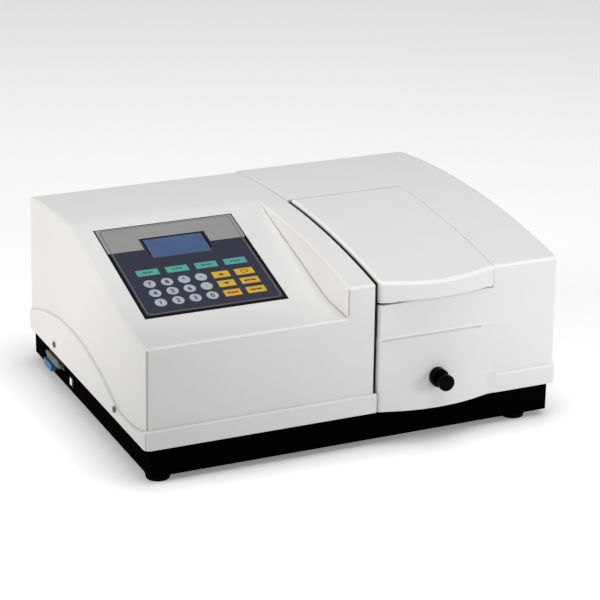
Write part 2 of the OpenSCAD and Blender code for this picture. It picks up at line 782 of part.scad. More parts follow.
module inlet_module()
    color([0.04, 0.04, 0.04]) in_case() difference() {
        pan_rear = case_depth - pan_rear_inset;
        union() {
            block([inlet_x, pan_rear - inlet_size[1], inlet_z],
                  [inlet_x + inlet_size[0], pan_rear, inlet_z + inlet_size[2]]);
            block([inlet_x - 3, pan_rear, inlet_z - 1.5],
                  [inlet_x + inlet_size[0] + 3, case_depth - 0.2, inlet_z + inlet_size[2] + 1.5]);
        }
        difference() {
            block([inlet_x + 4, case_depth - 22, inlet_z + 3.4],
                  [inlet_x + 29, case_depth + 1, inlet_z + 20.6]);
            for (p = [[9, 10], [24, 10], [16.5, 14]])
                block([inlet_x + p[0] - 1, case_depth - 23, inlet_z + p[1] - 3],
                      [inlet_x + p[0] + 1, case_depth - 6, inlet_z + p[1] + 1]);
        }
        block([rocker_x - 6.6, case_depth - 14, rocker_z - 10.6],
              [rocker_x + 6.6, case_depth + 1, rocker_z + 10.6]);
        along_x([rocker_x - 8.6, rocker_y, rocker_z], 3.1, 17.2);
    }
rocker_x = inlet_x + 45;
rocker_y = case_depth - 6;
rocker_z = inlet_z + inlet_size[2] / 2;
rocker_throw = 16;

// Rocker that lies with its lower half pushed in
module power_rocker()
    color([0.6, 0.03, 0.03]) in_case() translate([rocker_x, rocker_y, rocker_z])
        rotate([-rocker_throw / 2, 0, 0]) {
            translate([-6.2, 0, 0]) rotate([90, 0, 90]) linear_extrude(12.4)
                polygon([[-3.4, -6], [-3.4, 6], [1, 9.4], [4.6, 9.4], [3.4, 0], [4.6, -9.4],
                         [1, -9.4]]);
            along_x([-8.3, 0, 0], 3, 16.6);
        }

module parallel_port()
    color([0.7, 0.7, 0.72]) in_case() difference() {
        union() {
            block([8.7, parallel_y, parallel_z],
                  [8.7 + parallel_size[0], parallel_y + parallel_size[1],
                   parallel_z + parallel_size[2]]);
            block([3, parallel_y + 7, parallel_z + 2],
                  [9, parallel_y + parallel_size[1] - 7, parallel_z + parallel_size[2] - 2]);
            for (y = [parallel_y + 3.4, parallel_y + parallel_size[1] - 3.4])
                along_x([3.6, y, parallel_z + parallel_size[2] / 2], 5, 6);
            block([16, parallel_y + 4, board_z + 1.6],
                  [20, serial_y - 2, parallel_z + 2]);
        }
        for (i = [0 : 12])
            along_x([2.4, parallel_y + 10.4 + i * 2.77, parallel_z + 7.6], 1.2, 4);
        for (i = [0 : 11])
            along_x([2.4, parallel_y + 11.8 + i * 2.77, parallel_z + 4.8], 1.2, 4);
    }

module serial_port()
    color([0.05, 0.2, 0.6]) in_case() difference() {
        union() {
            block([8.7, serial_y, board_z + 1.6],
                  [8.7 + serial_size[0], serial_y + serial_size[1], serial_z + serial_size[2]]);
            block([2, serial_y + 3, serial_z + 1],
                  [9, serial_y + serial_size[1] - 3, serial_z + serial_size[2] - 0.6]);
        }
        for (row = [0 : 2]) for (i = [0 : 4])
            along_x([1.4, serial_y + 10.9 + i * 2.3, serial_z + 3.1 + row * 2.1], 1.1, 4);
    }

module usb_port()
    color([0.78, 0.78, 0.8]) in_case() difference() {
        union() {
            block([6, usb_y, usb_z], [20, usb_y + usb_size[1], usb_z + usb_size[2]]);
            block([13, usb_y + 1, board_z + 1.6], [20, usb_y + usb_size[1] - 1, usb_z + 1]);
        }
        difference() {
            block([5, usb_y + 1.4, usb_z + 1.2],
                  [15, usb_y + usb_size[1] - 1.4, usb_z + usb_size[2] - 1.2]);
            block([11.2, usb_y + 3.6, usb_z + 3.6],
                  [16, usb_y + usb_size[1] - 3.6, usb_z + usb_size[2] - 3.6]);
        }
    }

// ---- light path ----------------------------------------------------------------------------

module lamp_house()
    color([0.5, 0.51, 0.53]) in_case() difference() {
        block([lamp_left, lamp_front, bench_top], [lamp_right, lamp_rear, lamp_top]);
        block([lamp_left + 2, lamp_front + 2, bench_top + 3],
              [lamp_right - 2, lamp_rear - 2, lamp_top - 2]);
        along_x([lamp_right - 5, source_y, beam_height], 14, 10);
        along_z([source_x, source_y, lamp_top - 5], 12, 10);
        for (i = [0 : 5]) {
            block([lamp_left + 10 + i * 11, lamp_rear - 5, 30],
                  [lamp_left + 15 + i * 11, lamp_rear + 1, 85]);
            block([lamp_left + 10 + i * 11, lamp_front - 1, 30],
                  [lamp_left + 15 + i * 11, lamp_front + 5, 85]);
        }
    }

module tungsten_lamp()
    color([0.85, 0.8, 0.6]) in_case() translate([52, 268, bench_top + 3]) {
        block([-10, -10, 0], [10, 10, 26]);
        along_z([0, 0, 25], 11, 32);
        translate([0, 0, 57]) sphere(d = 11);
    }

module deuterium_lamp()
    color([0.8, 0.85, 0.95]) in_case() translate([52, 318, bench_top + 3]) {
        along_z([0, 0, 0], 34, 8);
        along_z([0, 0, 7], 28, 52);
        translate([0, 0, 58]) cylinder(d1 = 28, d2 = 10, h = 10);
    }

module source_mirror()
    color([0.85, 0.87, 0.9]) in_case() translate([source_x, source_y, 0]) {
        difference() {
            rotate(-19) block([-12, -2, beam_height - 15], [12, 2, beam_height + 15]);
            rotate(-19) block([-10, 1.6, beam_height - 13], [10, 3, beam_height + 13]);
        }
        along_z([0, 0, beam_height + 14], 8, 10);
        along_z([0, 0, beam_height + 20], 5, lamp_top + 4.7 - beam_height - 20);
    }

module monochromator_case()
    color([0.3, 0.31, 0.33]) in_case() difference() {
        union() {
            block([mono_left, mono_front, bench_top], [mono_right, mono_rear, mono_top]);
            along_x([mono_right - 1, beam_depth, beam_height], 18, box_left - 4.5 - mono_right + 1);
        }
        block([mono_left + mono_wall, mono_front + mono_wall, bench_top + mono_wall],
              [mono_right - mono_wall, mono_rear - mono_wall, mono_top - mono_wall]);
        along_x([mono_right - 5, beam_depth, beam_height], 10, 40);
        along_x([mono_left - 1, source_y, beam_height], 8, 8);
        along_z([grating_x, grating_y, bench_top - 1], 12, 8);
    }

module mirror_at(x, y, turn)
    translate([x, y, 0]) rotate(turn) {
        along_y([0, -4, beam_height], 40, 8);
        block([-12, 3.9, bench_top + mono_wall], [12, 7.9, beam_height + 12]);
        block([-12, -4, bench_top + mono_wall], [12, 14, bench_top + mono_wall + 4]);
    }
module collimating_mirrors()
    color([0.82, 0.85, 0.88]) in_case() {
        mirror_at(222, 290, -40);
        mirror_at(168, 94, 130);
    }

module grating_table()
    color([0.7, 0.6, 0.75]) in_case() translate([grating_x, grating_y, 0]) {
        along_z([0, 0, -1.6], 5, bench_top + 8);
        along_z([0, 0, bench_top + mono_wall + 1], 44, 5);
        block([-16, -8, bench_top + mono_wall + 5], [16, 2, beam_height - 16]);
        block([-16, -6, beam_height - 17], [16, 2, beam_height + 16]);
    }

module filter_wheel()
    color([0.15, 0.15, 0.16]) in_case() translate([filter_x, filter_y, beam_height])
        rotate([0, 90, 0]) {
            difference() {
                cylinder(d = filter_wheel_diameter, h = 3);
                for (i = [0 : 5])
                    rotate(90 + i * 60) translate([filter_ring, 0, -1]) cylinder(d = 8, h = 5);
            }
            translate([0, 0, -6.8]) cylinder(d = 5, h = 7);
        }

module motor_body() difference() {
    union() {
        block([-motor_size / 2, -motor_size / 2, -motor_length],
              [motor_size / 2, motor_size / 2, 0]);
        translate([0, 0, -0.1]) cylinder(d = 11, h = 1.6);
    }
    translate([0, 0, -6]) cylinder(d = 5.1, h = 10);
}
module stepper_motors()
    color([0.2, 0.2, 0.21]) in_case() {
        translate([grating_x, grating_y, bench_bottom]) motor_body();
        translate([source_x, source_y, lamp_top]) mirror([0, 0, 1]) motor_body();
        translate([filter_x - 3, filter_y, beam_height]) rotate([0, 90, 0]) motor_body();
    }

module detector_housing()
    color([0.35, 0.36, 0.38]) in_case() {
        left = box_right + 6;
        difference() {
            union() {
                block([left, beam_depth - 24, beam_height - 24], [446, beam_depth + 24, 88]);
                along_x([box_right + 4.4, beam_depth, beam_height], 20, 4);
                block([left + 10, beam_depth - 16, bench_top],
                      [left + 44, beam_depth + 16, beam_height - 23]);
            }
            along_x([box_right + 4, beam_depth, beam_height], 10, 30);
        }
    }

// ---- parts --------------------------------------------------------------------------------

base_pan();
rubber_feet();
case_screws();
optical_bench();
left_cover();
right_cover();
hinge_pins();
lid_shell();
lid_seal();
sample_box();
window_lenses();
guide_rails();
rod_bush();
cell_block();
pull_rod();
rod_knob();
display_module();
keypad_overlay();
keypad_board();
main_board();
power_supply();
fan_frame();
fan_rotor();
inlet_module();
power_rocker();
parallel_port();
serial_port();
usb_port();
lamp_house();
tungsten_lamp();
deuterium_lamp();
source_mirror();
monochromator_case();
collimating_mirrors();
grating_table();
filter_wheel();
stepper_motors();
detector_housing();
round_key(key_columns[3], key_rows[2]);  // key_0
round_key(key_columns[0], key_rows[2]);  // key_1
round_key(key_columns[1], key_rows[2]);  // key_2
round_key(key_columns[2], key_rows[2]);  // key_3
round_key(key_columns[0], key_rows[1]);  // key_4
round_key(key_columns[1], key_rows[1]);  // key_5
round_key(key_columns[2], key_rows[1]);  // key_6
round_key(key_columns[0], key_rows[0]);  // key_7
round_key(key_columns[1], key_rows[0]);  // key_8
round_key(key_columns[2], key_rows[0]);  // key_9
round_key(key_columns[3], key_rows[0]);  // key_sign
round_key(key_columns[3], key_rows[1]);  // key_point
function_key(0);  // function_key_1
function_key(1);  // function_key_2
function_key(2);  // function_key_3
function_key(3);  // function_key_4
command_key(0, 0);  // command_key_1
command_key(1, 0);  // command_key_2
command_key(0, 1);  // command_key_3
command_key(1, 1);  // command_key_4
command_key(0, 2);  // command_key_5
command_key(1, 2);  // command_key_6
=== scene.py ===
"""Looks of the bench spectrophotometer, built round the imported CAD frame."""

import json
import math

import bmesh
import bpy
from mathutils import Matrix, Vector


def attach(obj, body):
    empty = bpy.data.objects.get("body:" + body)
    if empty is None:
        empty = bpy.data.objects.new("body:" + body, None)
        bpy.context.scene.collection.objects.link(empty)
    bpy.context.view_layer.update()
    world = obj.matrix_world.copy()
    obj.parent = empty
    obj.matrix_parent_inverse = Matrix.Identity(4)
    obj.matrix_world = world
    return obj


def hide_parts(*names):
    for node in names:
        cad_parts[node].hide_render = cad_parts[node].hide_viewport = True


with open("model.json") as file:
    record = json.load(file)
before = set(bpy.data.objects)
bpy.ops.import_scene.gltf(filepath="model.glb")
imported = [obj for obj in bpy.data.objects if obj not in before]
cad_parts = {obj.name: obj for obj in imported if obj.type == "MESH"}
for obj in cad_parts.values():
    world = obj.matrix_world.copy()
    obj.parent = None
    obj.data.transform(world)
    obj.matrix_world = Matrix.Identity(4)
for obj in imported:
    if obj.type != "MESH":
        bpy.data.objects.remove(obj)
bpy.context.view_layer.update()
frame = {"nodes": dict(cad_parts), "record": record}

MM = 0.001
nodes = frame["nodes"]

# ---- sizes, in millimetres in the casing's own frame ----
# x runs from the left skirt, y from the front skirt to the rear, z from the covers' lower edge.
CASE_W, CASE_D, PAN_H, FOOT_H = 480.0, 381.0, 33.0, 7.0
KNOB_REACH = 26.5
CASE_Y = -(CASE_D - KNOB_REACH) / 2
CASE_Z = PAN_H + FOOT_H
SKIRT_H, REAR_SKIRT_H, STEP, WALL = 21.4, 18.6, 2.5, 3.0
LEAN = math.tan(math.radians(0.6))
ARCH_R, ARCH_Y, LEFT_APEX, RIGHT_APEX = 1170.0, 234.6, 166.5, 167.98
DECK_SLOPE = math.radians(16.087)
DECK_BASE, DECK_BEND, LEDGE, CREASE = 97.7, 238.5, 55.0, 110.0
RIB_L, RIB_R, SKIRT_END = 228.0, 257.5, 260.5
LID_L, LID_R, LID_REAR, LIP = 262.0, 397.0, 227.6, 122.3
HOLE_R, HOLE_REAR, SILL = 397.4, 229.4, 117.0
BOW, BOW_R, BOW_X, BAND, PANEL_R = 11.6, 185.0, 329.0, 80.0, 404.0
HINGE_Y, HINGE_Z, POSTS = 208.0, 160.8, (266.2, 388.8)
BOX = (275.0, 14.0, 385.0, 202.0)  # the sample box: x and y of two corners
ROD_X, ROD_Z, BUSH_D = 330.0, 32.6, 20.5
OVER_L, OVER_F, OVER_W, OVER_H = 26.4, 68.8, 160.5, 163.5
KEY_FIELD = (36.0, 82.0, 138.0, 76.0)  # on the deck: left, foot, width and height
WINDOW = (72.5, 170.0, 68.0, 35.0)
KEY_U = (52.0, 71.4, 90.6, 109.8)
KEY_V = (125.8, 109.2, 92.2)
CMD_U, CMD_W = (132.6, 159.4), (19.0, 21.0)
FUN_U, FUN_V, FUN_W = (57.0, 90.3, 123.4, 156.8), 145.8, 25.0
KEY_TOP, OVER_TOP = 0.5, 0.2
FAN_X, FAN_Z, FAN_SIZE = 66.0, 64.0, 60.0
LOOM_Y, LOOM_Z, LOOM_R = 100.0, 62.0, 12.0  # holes for the wires between the covers
LEDGE_FOLD, BEND_FOLD = 12.0, 10.0
FRONT_TOP, REAR_TOP, LID_FRONT = 140.0, 160.0, STEP + 1
DIP_END = 86.0  # where the side trim's dip meets its arch
SHADE_H = 2.8
TO_CASING = Vector((CASE_W / 2, -CASE_Y, -CASE_Z))

# ---- how finely the meshes are worked ----
WIDEST_ROUND, ROUND_STEPS = 10.0, 4
LEAST_CORNER = 0.35  # in radians: edges flatter than this are not rounded
NORMAL_WEIGHT = 90


def place(x, y, z):
    """A point of the casing, in millimetres, as one of the row's frame, in metres."""
    return Vector(((x - CASE_W / 2) * MM, (y + CASE_Y) * MM, (z + CASE_Z) * MM))


def on_deck(u, v, w):
    """A point of the deck's frame: u across, v up the slope, w out of it."""
    c, s = math.cos(DECK_SLOPE), math.sin(DECK_SLOPE)
    return place(u, v * c - w * s, DECK_BASE + v * s + w * c)


def arch(apex, y):
    """Height of a cover's arched top at depth y."""
    return apex - ARCH_R + math.sqrt(ARCH_R * ARCH_R - (y - ARCH_Y) ** 2)


def front_wall(z, inset=0.0):
    """Depth of the leaning front wall at height z."""
    return STEP + inset + (z - SKIRT_H) * LEAN


def rear_wall(z, inset=0.0):
    """Depth of the leaning rear wall at height z."""
    return CASE_D - STEP - inset - (z - SKIRT_H) * LEAN


def bow_at(x):
    """How far the front bows out at x: an arc that runs out in a reverse curve at each end."""
    off, turn = abs(x - BOW_X), 55.0
    if off <= turn:
        return math.sqrt(BOW_R * BOW_R - off * off) - BOW_R + BOW
    across = math.sqrt(BOW_R * BOW_R - turn * turn)
    left_over = across - BOW_R + BOW
    run_out = (off - turn) * turn / across / (2 * left_over)
    return 0.0 if run_out >= 1 else left_over * (1 - run_out) ** 2


def ease(t):
    """A smooth step from 0 to 1."""
    t = min(1.0, max(0.0, t))
    return t * t * (3 - 2 * t)


def panel_y(x, z):
    """Depth of the lower front panel: it blends into the wall and the skirt at its right end."""
    blend_from, fade_end, fade_w = 386, 398, 38
    k = z / BAND
    fade = min(1.0, max(0.0, (fade_end - x) / fade_w))
    panel = k * (STEP + 1 + 1.8 * fade) - (1 - k) * bow_at(x)
    flat = 0.0 if z < SKIRT_H else front_wall(z)
    t = ease((x - blend_from) / (PANEL_R - blend_from))
    return panel * (1 - t) + flat * t


# ---- mesh helpers ----
def add_object(name, data):
    """Puts a mesh, a curve, a light or a camera into the scene."""
    o = bpy.data.objects.new(name, data)
    bpy.context.scene.collection.objects.link(o)
    return o


def mesh_object(bm, name):
    """Turns a bmesh, as it is, into an object."""
    mesh = bpy.data.meshes.new(name)
    bm.to_mesh(mesh)
    bm.free()
    return add_object(name, mesh)


def finish_mesh(bm, name, point=place):
    """Turns a bmesh in millimetres into an object, with its normals outwards."""
    for v in bm.verts:
        v.co = point(*v.co)
    bmesh.ops.recalc_face_normals(bm, faces=bm.faces[:])
    return mesh_object(bm, name)


def evaluated_mesh(o):
    """A new mesh of what an object's curve or modifiers make."""
    dg = bpy.context.evaluated_depsgraph_get()
    dg.update()
    return bpy.data.meshes.new_from_object(o.evaluated_get(dg))


def apply_all(o):
    """Replaces an object's mesh with what its modifiers make of it."""
    mesh, old = evaluated_mesh(o), o.data
    o.modifiers.clear()
    o.data = mesh
    bpy.data.meshes.remove(old)
    return o


def combine(o, other, operation):
    """A boolean with another object, which it uses up."""
    m = o.modifiers.new("Boolean", "BOOLEAN")
    m.operation = operation
    m.object = other
    m.solver = "EXACT"
    apply_all(o)
    bpy.data.objects.remove(other)
    return o


def cut(o, *others):
    for other in others:
        combine(o, other, "DIFFERENCE")
    return o


def shade(o, angle=32.0):
    """Smooth shading that breaks at edges sharper than the angle, in degrees."""
    for p in o.data.polygons:
        p.use_smooth = True
    o.data.set_sharp_from_angle(angle=math.radians(angle))
    m = o.modifiers.new("WeightedNormal", "WEIGHTED_NORMAL")
    m.keep_sharp = True
    m.weight = NORMAL_WEIGHT
    return o


def round_edges(o, radius, wanted, segments=2, clamp=True):
    """Rounds the edges for which wanted(middle, direction) holds, in casing millimetres."""
    bm = bmesh.new()
    bm.from_mesh(o.data)
    found = []
    for e in bm.edges:
        a, b = e.verts[0].co / MM, e.verts[1].co / MM
        if len(e.link_faces) != 2 or e.calc_face_angle(0) < LEAST_CORNER:
            continue
        if wanted((a + b) / 2 + TO_CASING, (b - a).normalized()):
            found.append(e)
    bmesh.ops.bevel(bm, geom=found, offset=radius * MM, segments=segments, profile=0.5,
                    affect="EDGES", clamp_overlap=clamp)
    bm.to_mesh(o.data)
    bm.free()
    return o


def all_edges(middle, direction):
    return True


def block(a, b, point=place, name="block"):
    """A block between two opposite corners."""
    bm = bmesh.new()
    v = [bm.verts.new((x, y, z)) for x in (a[0], b[0]) for y in (a[1], b[1])
         for z in (a[2], b[2])]
    for f in ((0, 1, 3, 2), (4, 6, 7, 5), (0, 4, 5, 1), (2, 3, 7, 6), (0, 2, 6, 4), (1, 5, 7, 3)):
        bm.faces.new([v[i] for i in f])
    return finish_mesh(bm, name, point)


def bridge(bm, a, b):
    """Joins two closed loops of vertices with a band of faces."""
    n = len(a)
    for i in range(n):
        j = (i + 1) % n
        bm.faces.new([a[i], a[j], b[j], b[i]])


def circle(bm, axis, centre, radius, along, n):
    """n vertices round an axis through the centre, at a distance along it."""
    k = "xyz".index(axis)
    ring = []
    for i in range(n):
        a = 2 * math.pi * i / n
        p = list(centre)
        p[k] += along
        p[(k + 1) % 3] += radius * math.cos(a)
        p[(k + 2) % 3] += radius * math.sin(a)
        ring.append(bm.verts.new(p))
    return ring


def rod(axis, centre, radius, length, n=48):
    """A cylinder along x, y or z from the centre of its first face."""
    bm = bmesh.new()
    start, end = (circle(bm, axis, centre, radius, along, n) for along in (0.0, length))
    bm.faces.new(start[::-1])
    bm.faces.new(end)
    bridge(bm, start, end)
    return finish_mesh(bm, "rod")


def turned(name, profile, axis, centre, n):
    """A closed profile of (radius, distance) pairs turned about an axis through the centre."""
    bm = bmesh.new()
    rings = [circle(bm, axis, centre, radius, along, n) for radius, along in profile]
    for a, b in zip(rings, rings[1:]):
        bridge(bm, a, b)
    return finish_mesh(bm, name)


def grid_block(name, nx, ny, top, low, edge_radius=None, post_radii=None):
    """A closed block under an nx by ny grid of corners, with rounded edges.

    top(i, j) and low(i, j) give the corners; corners that coincide are merged, so a doubled
    column or row makes an upright wall. edge_radius(i, j, across) gives the rounding of the
    edge from the top corner (i, j) to the next one across, or else to the one behind it, and
    post_radii that of the upright edges below some corners.
    """
    bm = bmesh.new()
    weight = bm.edges.layers.float.new("bevel_weight_edge")
    made = {}

    def vert(p):
        key = tuple(round(c, 3) for c in p)
        if key not in made:
            made[key] = bm.verts.new(p)
        return made[key]

    def face(corners):
        ring = [v for k, v in enumerate(corners) if v not in corners[:k]]
        if len(ring) > 2 and bm.faces.get(ring) is None:
            bm.faces.new(ring)

    high = {(i, j): vert(top(i, j)) for i in range(nx) for j in range(ny)}
    rim = ([(i, 0) for i in range(nx)] + [(nx - 1, j) for j in range(1, ny)]
           + [(i, ny - 1) for i in range(nx - 2, -1, -1)] + [(0, j) for j in range(ny - 2, 0, -1)])
    foot = {k: vert(low(*k)) for k in rim}
    for i in range(nx - 1):
        for j in range(ny - 1):
            face([high[i, j], high[i + 1, j], high[i + 1, j + 1], high[i, j + 1]])
    for p, q in zip(rim, rim[1:] + rim[:1]):
        face([high[p], high[q], foot[q], foot[p]])
    face([foot[k] for k in rim])

    def set_rounding(u, v, radius):
        e = bm.edges.get((u, v)) if u != v else None
        if e and radius:
            e[weight] = max(e[weight], min(1.0, radius / WIDEST_ROUND))

    for i, j in high if edge_radius else ():
        for across, other in ((True, (i + 1, j)), (False, (i, j + 1))):
            if other in high:
                set_rounding(high[i, j], high[other], edge_radius(i, j, across))
    for k, radius in (post_radii or {}).items():
        set_rounding(high[k], foot[k], radius)
    o = finish_mesh(bm, name)
    m = o.modifiers.new("Bevel", "BEVEL")
    m.limit_method = "WEIGHT"
    m.width = WIDEST_ROUND * MM
    m.segments = ROUND_STEPS
    m.use_clamp_overlap = False
    m.miter_outer = "MITER_SHARP"
    return apply_all(o)


def spread(a, b, step):
    """Even places from a to b, about a step apart."""
    n = max(1, round((b - a) / step))
    return [a + (b - a) * i / n for i in range(n + 1)]


def quarter(steps):
    """(sine, cosine) at even steps from 0 to 90 degrees."""
    angles = (math.pi / 2 * k / steps for k in range(steps + 1))
    return [(math.sin(a), math.cos(a)) for a in angles]


def sweep(name, path, section):
    """A closed section of (inset, height) pairs carried along a path of (x, y, nx, ny, top)."""
    bm = bmesh.new()
    rings = [[bm.verts.new((x - nx * d, y - ny * d, h)) for d, h in section(top)]
             for x, y, nx, ny, top in path]
    for a, b in zip(rings, rings[1:]):
        bridge(bm, a, b)
    bm.faces.new(rings[0])
    bm.faces.new(rings[-1][::-1])
    return finish_mesh(bm, name)


def rounded_outline(x0, y0, x1, y1, r):
    """Corners of a rounded rectangle, anticlockwise."""
    steps = 6
    out = []
    for cx, cy, a0 in ((x1 - r, y1 - r, 0), (x0 + r, y1 - r, 90), (x0 + r, y0 + r, 180),
                       (x1 - r, y0 + r, 270)):
        for i in range(steps + 1):
            a = math.radians(a0 + 90 * i / steps)
            out.append((cx + r * math.cos(a), cy + r * math.sin(a)))
    return out


def film(name, outline, w0, w1, holes):
    """A flat film on the deck between the heights w0 and w1, with holes in it."""
    bm = bmesh.new()
    levels = []
    for w in (w0, w1):
        loops = [[bm.verts.new((u, v, w)) for u, v in ring] for ring in (outline, *holes)]
        edges = [bm.edges.new(pair) for ring in loops for pair in zip(ring, ring[1:] + ring[:1])]
        bmesh.ops.triangle_fill(bm, edges=edges, use_beauty=True)
        levels.append(loops)
    for low, high in zip(*levels):
        bridge(bm, low, high)
    return finish_mesh(bm, name, on_deck)


def many_blocks(corners):
    """Several separate blocks in one mesh."""
    bm = bmesh.new()
    for a, b in corners:
        part = block(a, b)
        bm.from_mesh(part.data)
        bpy.data.objects.remove(part)
    return mesh_object(bm, "blocks")


# ---- covers ----
def soft_fold(y, centre, half, before, before_slope, after_slope, after=None):
    """A straight profile that turns into the next one over a parabola, half long each way."""
    z = before(y) + (after_slope - before_slope) * (y - centre + half) ** 2 / (4 * half)
    if after and y > centre:
        straight = before(centre) + after_slope * (y - centre)
        z += (after(y) - straight) * (y - centre) / half
    return z


def soft_deck(y, t):
    """Height of the left cover over its deck, with the folds rounded, t inside the skin."""
    slope, start = math.tan(DECK_SLOPE), front_wall(CREASE)
    ledge_slope = (DECK_BASE + LEDGE * slope - CREASE) / (LEDGE - start)

    def ledge(v):
        return CREASE + ledge_slope * (v - start)

    def deck(v):
        return DECK_BASE + v * slope

    def top(v):
        return arch(LEFT_APEX, v)

    if abs(y - LEDGE) < LEDGE_FOLD:
        return soft_fold(y, LEDGE, LEDGE_FOLD, ledge, ledge_slope, slope) - t
    if abs(y - DECK_BEND) < BEND_FOLD:
        top_slope = -(DECK_BEND - ARCH_Y) / ARCH_R
        return soft_fold(y, DECK_BEND, BEND_FOLD, deck, slope, top_slope, top) - t
    return (top if y >= DECK_BEND else deck if y >= LEDGE else ledge)(y) - t


def left_outline(t, foot_r, top_r):
    """Grid of the left cover, t inside its skin: (nx, ny, top, low).

    foot_r and top_r round the rib's wall, in steps; with none the wall is one plain step.
    """
    rows = ([None, 7.4] + spread(20, 41, 10) + spread(43, 67, 4) + spread(76, 226, 12)
            + spread(228.5, 248.5, 4) + spread(260, 364, 13) + [None])
    steps = 4 if foot_r else 1
    left, right, wall_x = STEP + t, RIB_R - t, RIB_L + t
    inner_columns = (110.0, wall_x - 14.0)
    nx = 3 + 2 * (steps + 1) + 1

    def profile(i, y):
        """(x, z) of column i on the row at depth y."""
        low_z, high_z = soft_deck(y, t), arch(LEFT_APEX, y) - t
        rise = max(0.0, high_z - low_z)
        if y >= DECK_BEND + BEND_FOLD:
            low_z, rise = high_z, 0.0
        scale = min(1.0, rise / (foot_r + top_r + 0.5)) if foot_r else 0.0
        rf, rt = foot_r * scale, top_r * scale
        if i == 0:
            return left + (low_z - SKIRT_H) * LEAN, low_z
        if i < 3:
            return inner_columns[i - 1], low_z
        k = i - 3
        if k <= steps:
            sin_a, cos_a = quarter(steps)[k]
            return wall_x - rf + rf * sin_a, low_z + rf - rf * cos_a
        k -= steps + 1
        if k <= steps:
            sin_a, cos_a = quarter(steps)[k]
            return wall_x + rt - rt * cos_a, high_z - rt + rt * sin_a
        return right, high_z

    def top(i, j):
        y = rows[j]
        if y is not None:
            x, z = profile(i, y)
        elif j == 0:
            x, z = profile(i, front_wall(CREASE, t))
            y = front_wall(z, t)
        else:
            x, z = profile(i, rear_wall(REAR_TOP, t))
            y = rear_wall(z, t)
        return x, y, z

    def low(i, j):
        x, y, _ = top(i, j)
        z = -1.0 if t else 0.0
        x = left + (z - SKIRT_H) * LEAN if i == 0 else x
        y = front_wall(z, t) if j == 0 else y
        y = rear_wall(z, t) if j == len(rows) - 1 else y
        return x, y, z

    return nx, len(rows), top, low


def louvres(x0):
    """Blocks that cut a row of upright slots through the rear wall, from x0 on."""
    pitch, width, count, low, high = 8, 3, 12, 60, 100
    return many_blocks([((x, CASE_D - 12, low), (x + width, CASE_D + 1, high))
                        for x in (x0 + i * pitch for i in range(count))])


def deck_pocket(x, y, width, depth, low, high, gap_x=0.0, gap_y=0.0):
    """A block that cuts the deck over a rectangle, with a gap round it."""
    return block((x - gap_x, y - gap_y, low), (x + width + gap_x, y + depth + gap_y, high),
                 on_deck)


def left_cover():
    nx, ny, top, low = left_outline(0.0, foot_r=2.2, top_r=3.4)
    wall_foot = 7

    def edge_radius(i, j, across):
        if across:
            return 0.0 if (i, j) == (wall_foot, 0) else {0: 2.6, ny - 1: 5.0}.get(j, 0.0)
        return {0: 4.0, nx - 1: 1.6}.get(i, 0.0)

    posts = {(0, 0): 3.4, (nx - 1, 0): 1.6, (0, ny - 1): 5.0, (nx - 1, ny - 1): 1.0}
    o = grid_block("left_cover_shell", nx, ny, top, low, edge_radius, posts)
    cut(o, grid_block("inner", *left_outline(WALL, foot_r=0.0, top_r=0.0)),
        deck_pocket(OVER_L, OVER_F, OVER_W, OVER_H, -0.8, 8, 0.3, 0.3),
        deck_pocket(*KEY_FIELD, -20, 0),
        deck_pocket(*WINDOW, -20, 0, 4, 5),
        rod("y", (FAN_X, CASE_D - 12, FAN_Z), FAN_SIZE / 2 - 2, 20, 96),
        rod("x", (RIB_R - 10, LOOM_Y, LOOM_Z), LOOM_R, 20),
        louvres(140))
    return shade(o)


def right_outline(t):
    """Grid of the right cover, t inside its skin."""
    xs = [LID_L + t, 330.0, HOLE_R + t, HOLE_R + t, 440.0, CASE_W - STEP - t]
    rows = ([None] + spread(16, HOLE_REAR + t - 8, 12) + [HOLE_REAR + t, HOLE_REAR + t]
            + spread(HOLE_REAR + t + 10, 366, 12) + [None])
    step_row = rows.index(HOLE_REAR + t)

    def corner(i, j, z=None):
        """Corner (i, j) at height z, or on top of the cover."""
        y = rows[j]
        wall = None if y is not None else front_wall if j == 0 else rear_wall
        if z is None and i <= 2 and j <= step_row:
            z = SILL - t
        elif z is None:
            z = arch(RIGHT_APEX, wall(FRONT_TOP if j == 0 else REAR_TOP) if wall else y) - t
        if wall:
            y = wall(z, t)
        x = xs[i]
        if i == 0 and j > step_row and not t:
            x = RIB_R + 0.4
        if i == len(xs) - 1:
            x -= (z - SKIRT_H) * LEAN
        return x, y, z

    return len(xs), len(rows), step_row, corner


def right_cover():
    nx, ny, step_row, corner = right_outline(0.0)

    def edge_radius(i, j, across):
        if across and j == 0:
            return (1.0, 1.0, 0.7, 4.0, 4.0)[i]
        if across and j == step_row + 1 and i < 2:
            return 1.0
        if across:
            return 5.0 if j == ny - 1 else 0.0
        if i == 3 and j < step_row:
            return 0.7
        return {0: 1.0, nx - 1: 4.0}.get(i, 0.0)

    posts = {(0, 0): 5.0, (nx - 1, 0): 5.0, (nx - 1, ny - 1): 5.0}
    o = grid_block("right_cover_shell", nx, ny, corner, lambda i, j: corner(i, j, 0.0),
                   edge_radius, posts)
    nx, ny, _, inner_corner = right_outline(WALL)
    gap = 0.3
    cut(o, grid_block("inner", nx, ny, inner_corner, lambda i, j: inner_corner(i, j, -1.0)),
        block((LID_L - 1, -20, -1), (PANEL_R, STEP + WALL + 2, BAND)),
        block((BOX[0] - gap, BOX[1] - gap, 60), (BOX[2] + gap, BOX[3] + gap, 130)),
        rod("x", (LID_L - 5, LOOM_Y, LOOM_Z), LOOM_R, 12),
        louvres(300))

    def under_band(m, d):
        return abs(m.z - BAND) < 0.05 and abs(d.z) < 0.1 and m.y < 4.4 and m.x < PANEL_R - 0.1

    round_edges(o, 2.2, under_band, 3, False)
    return shade(o)


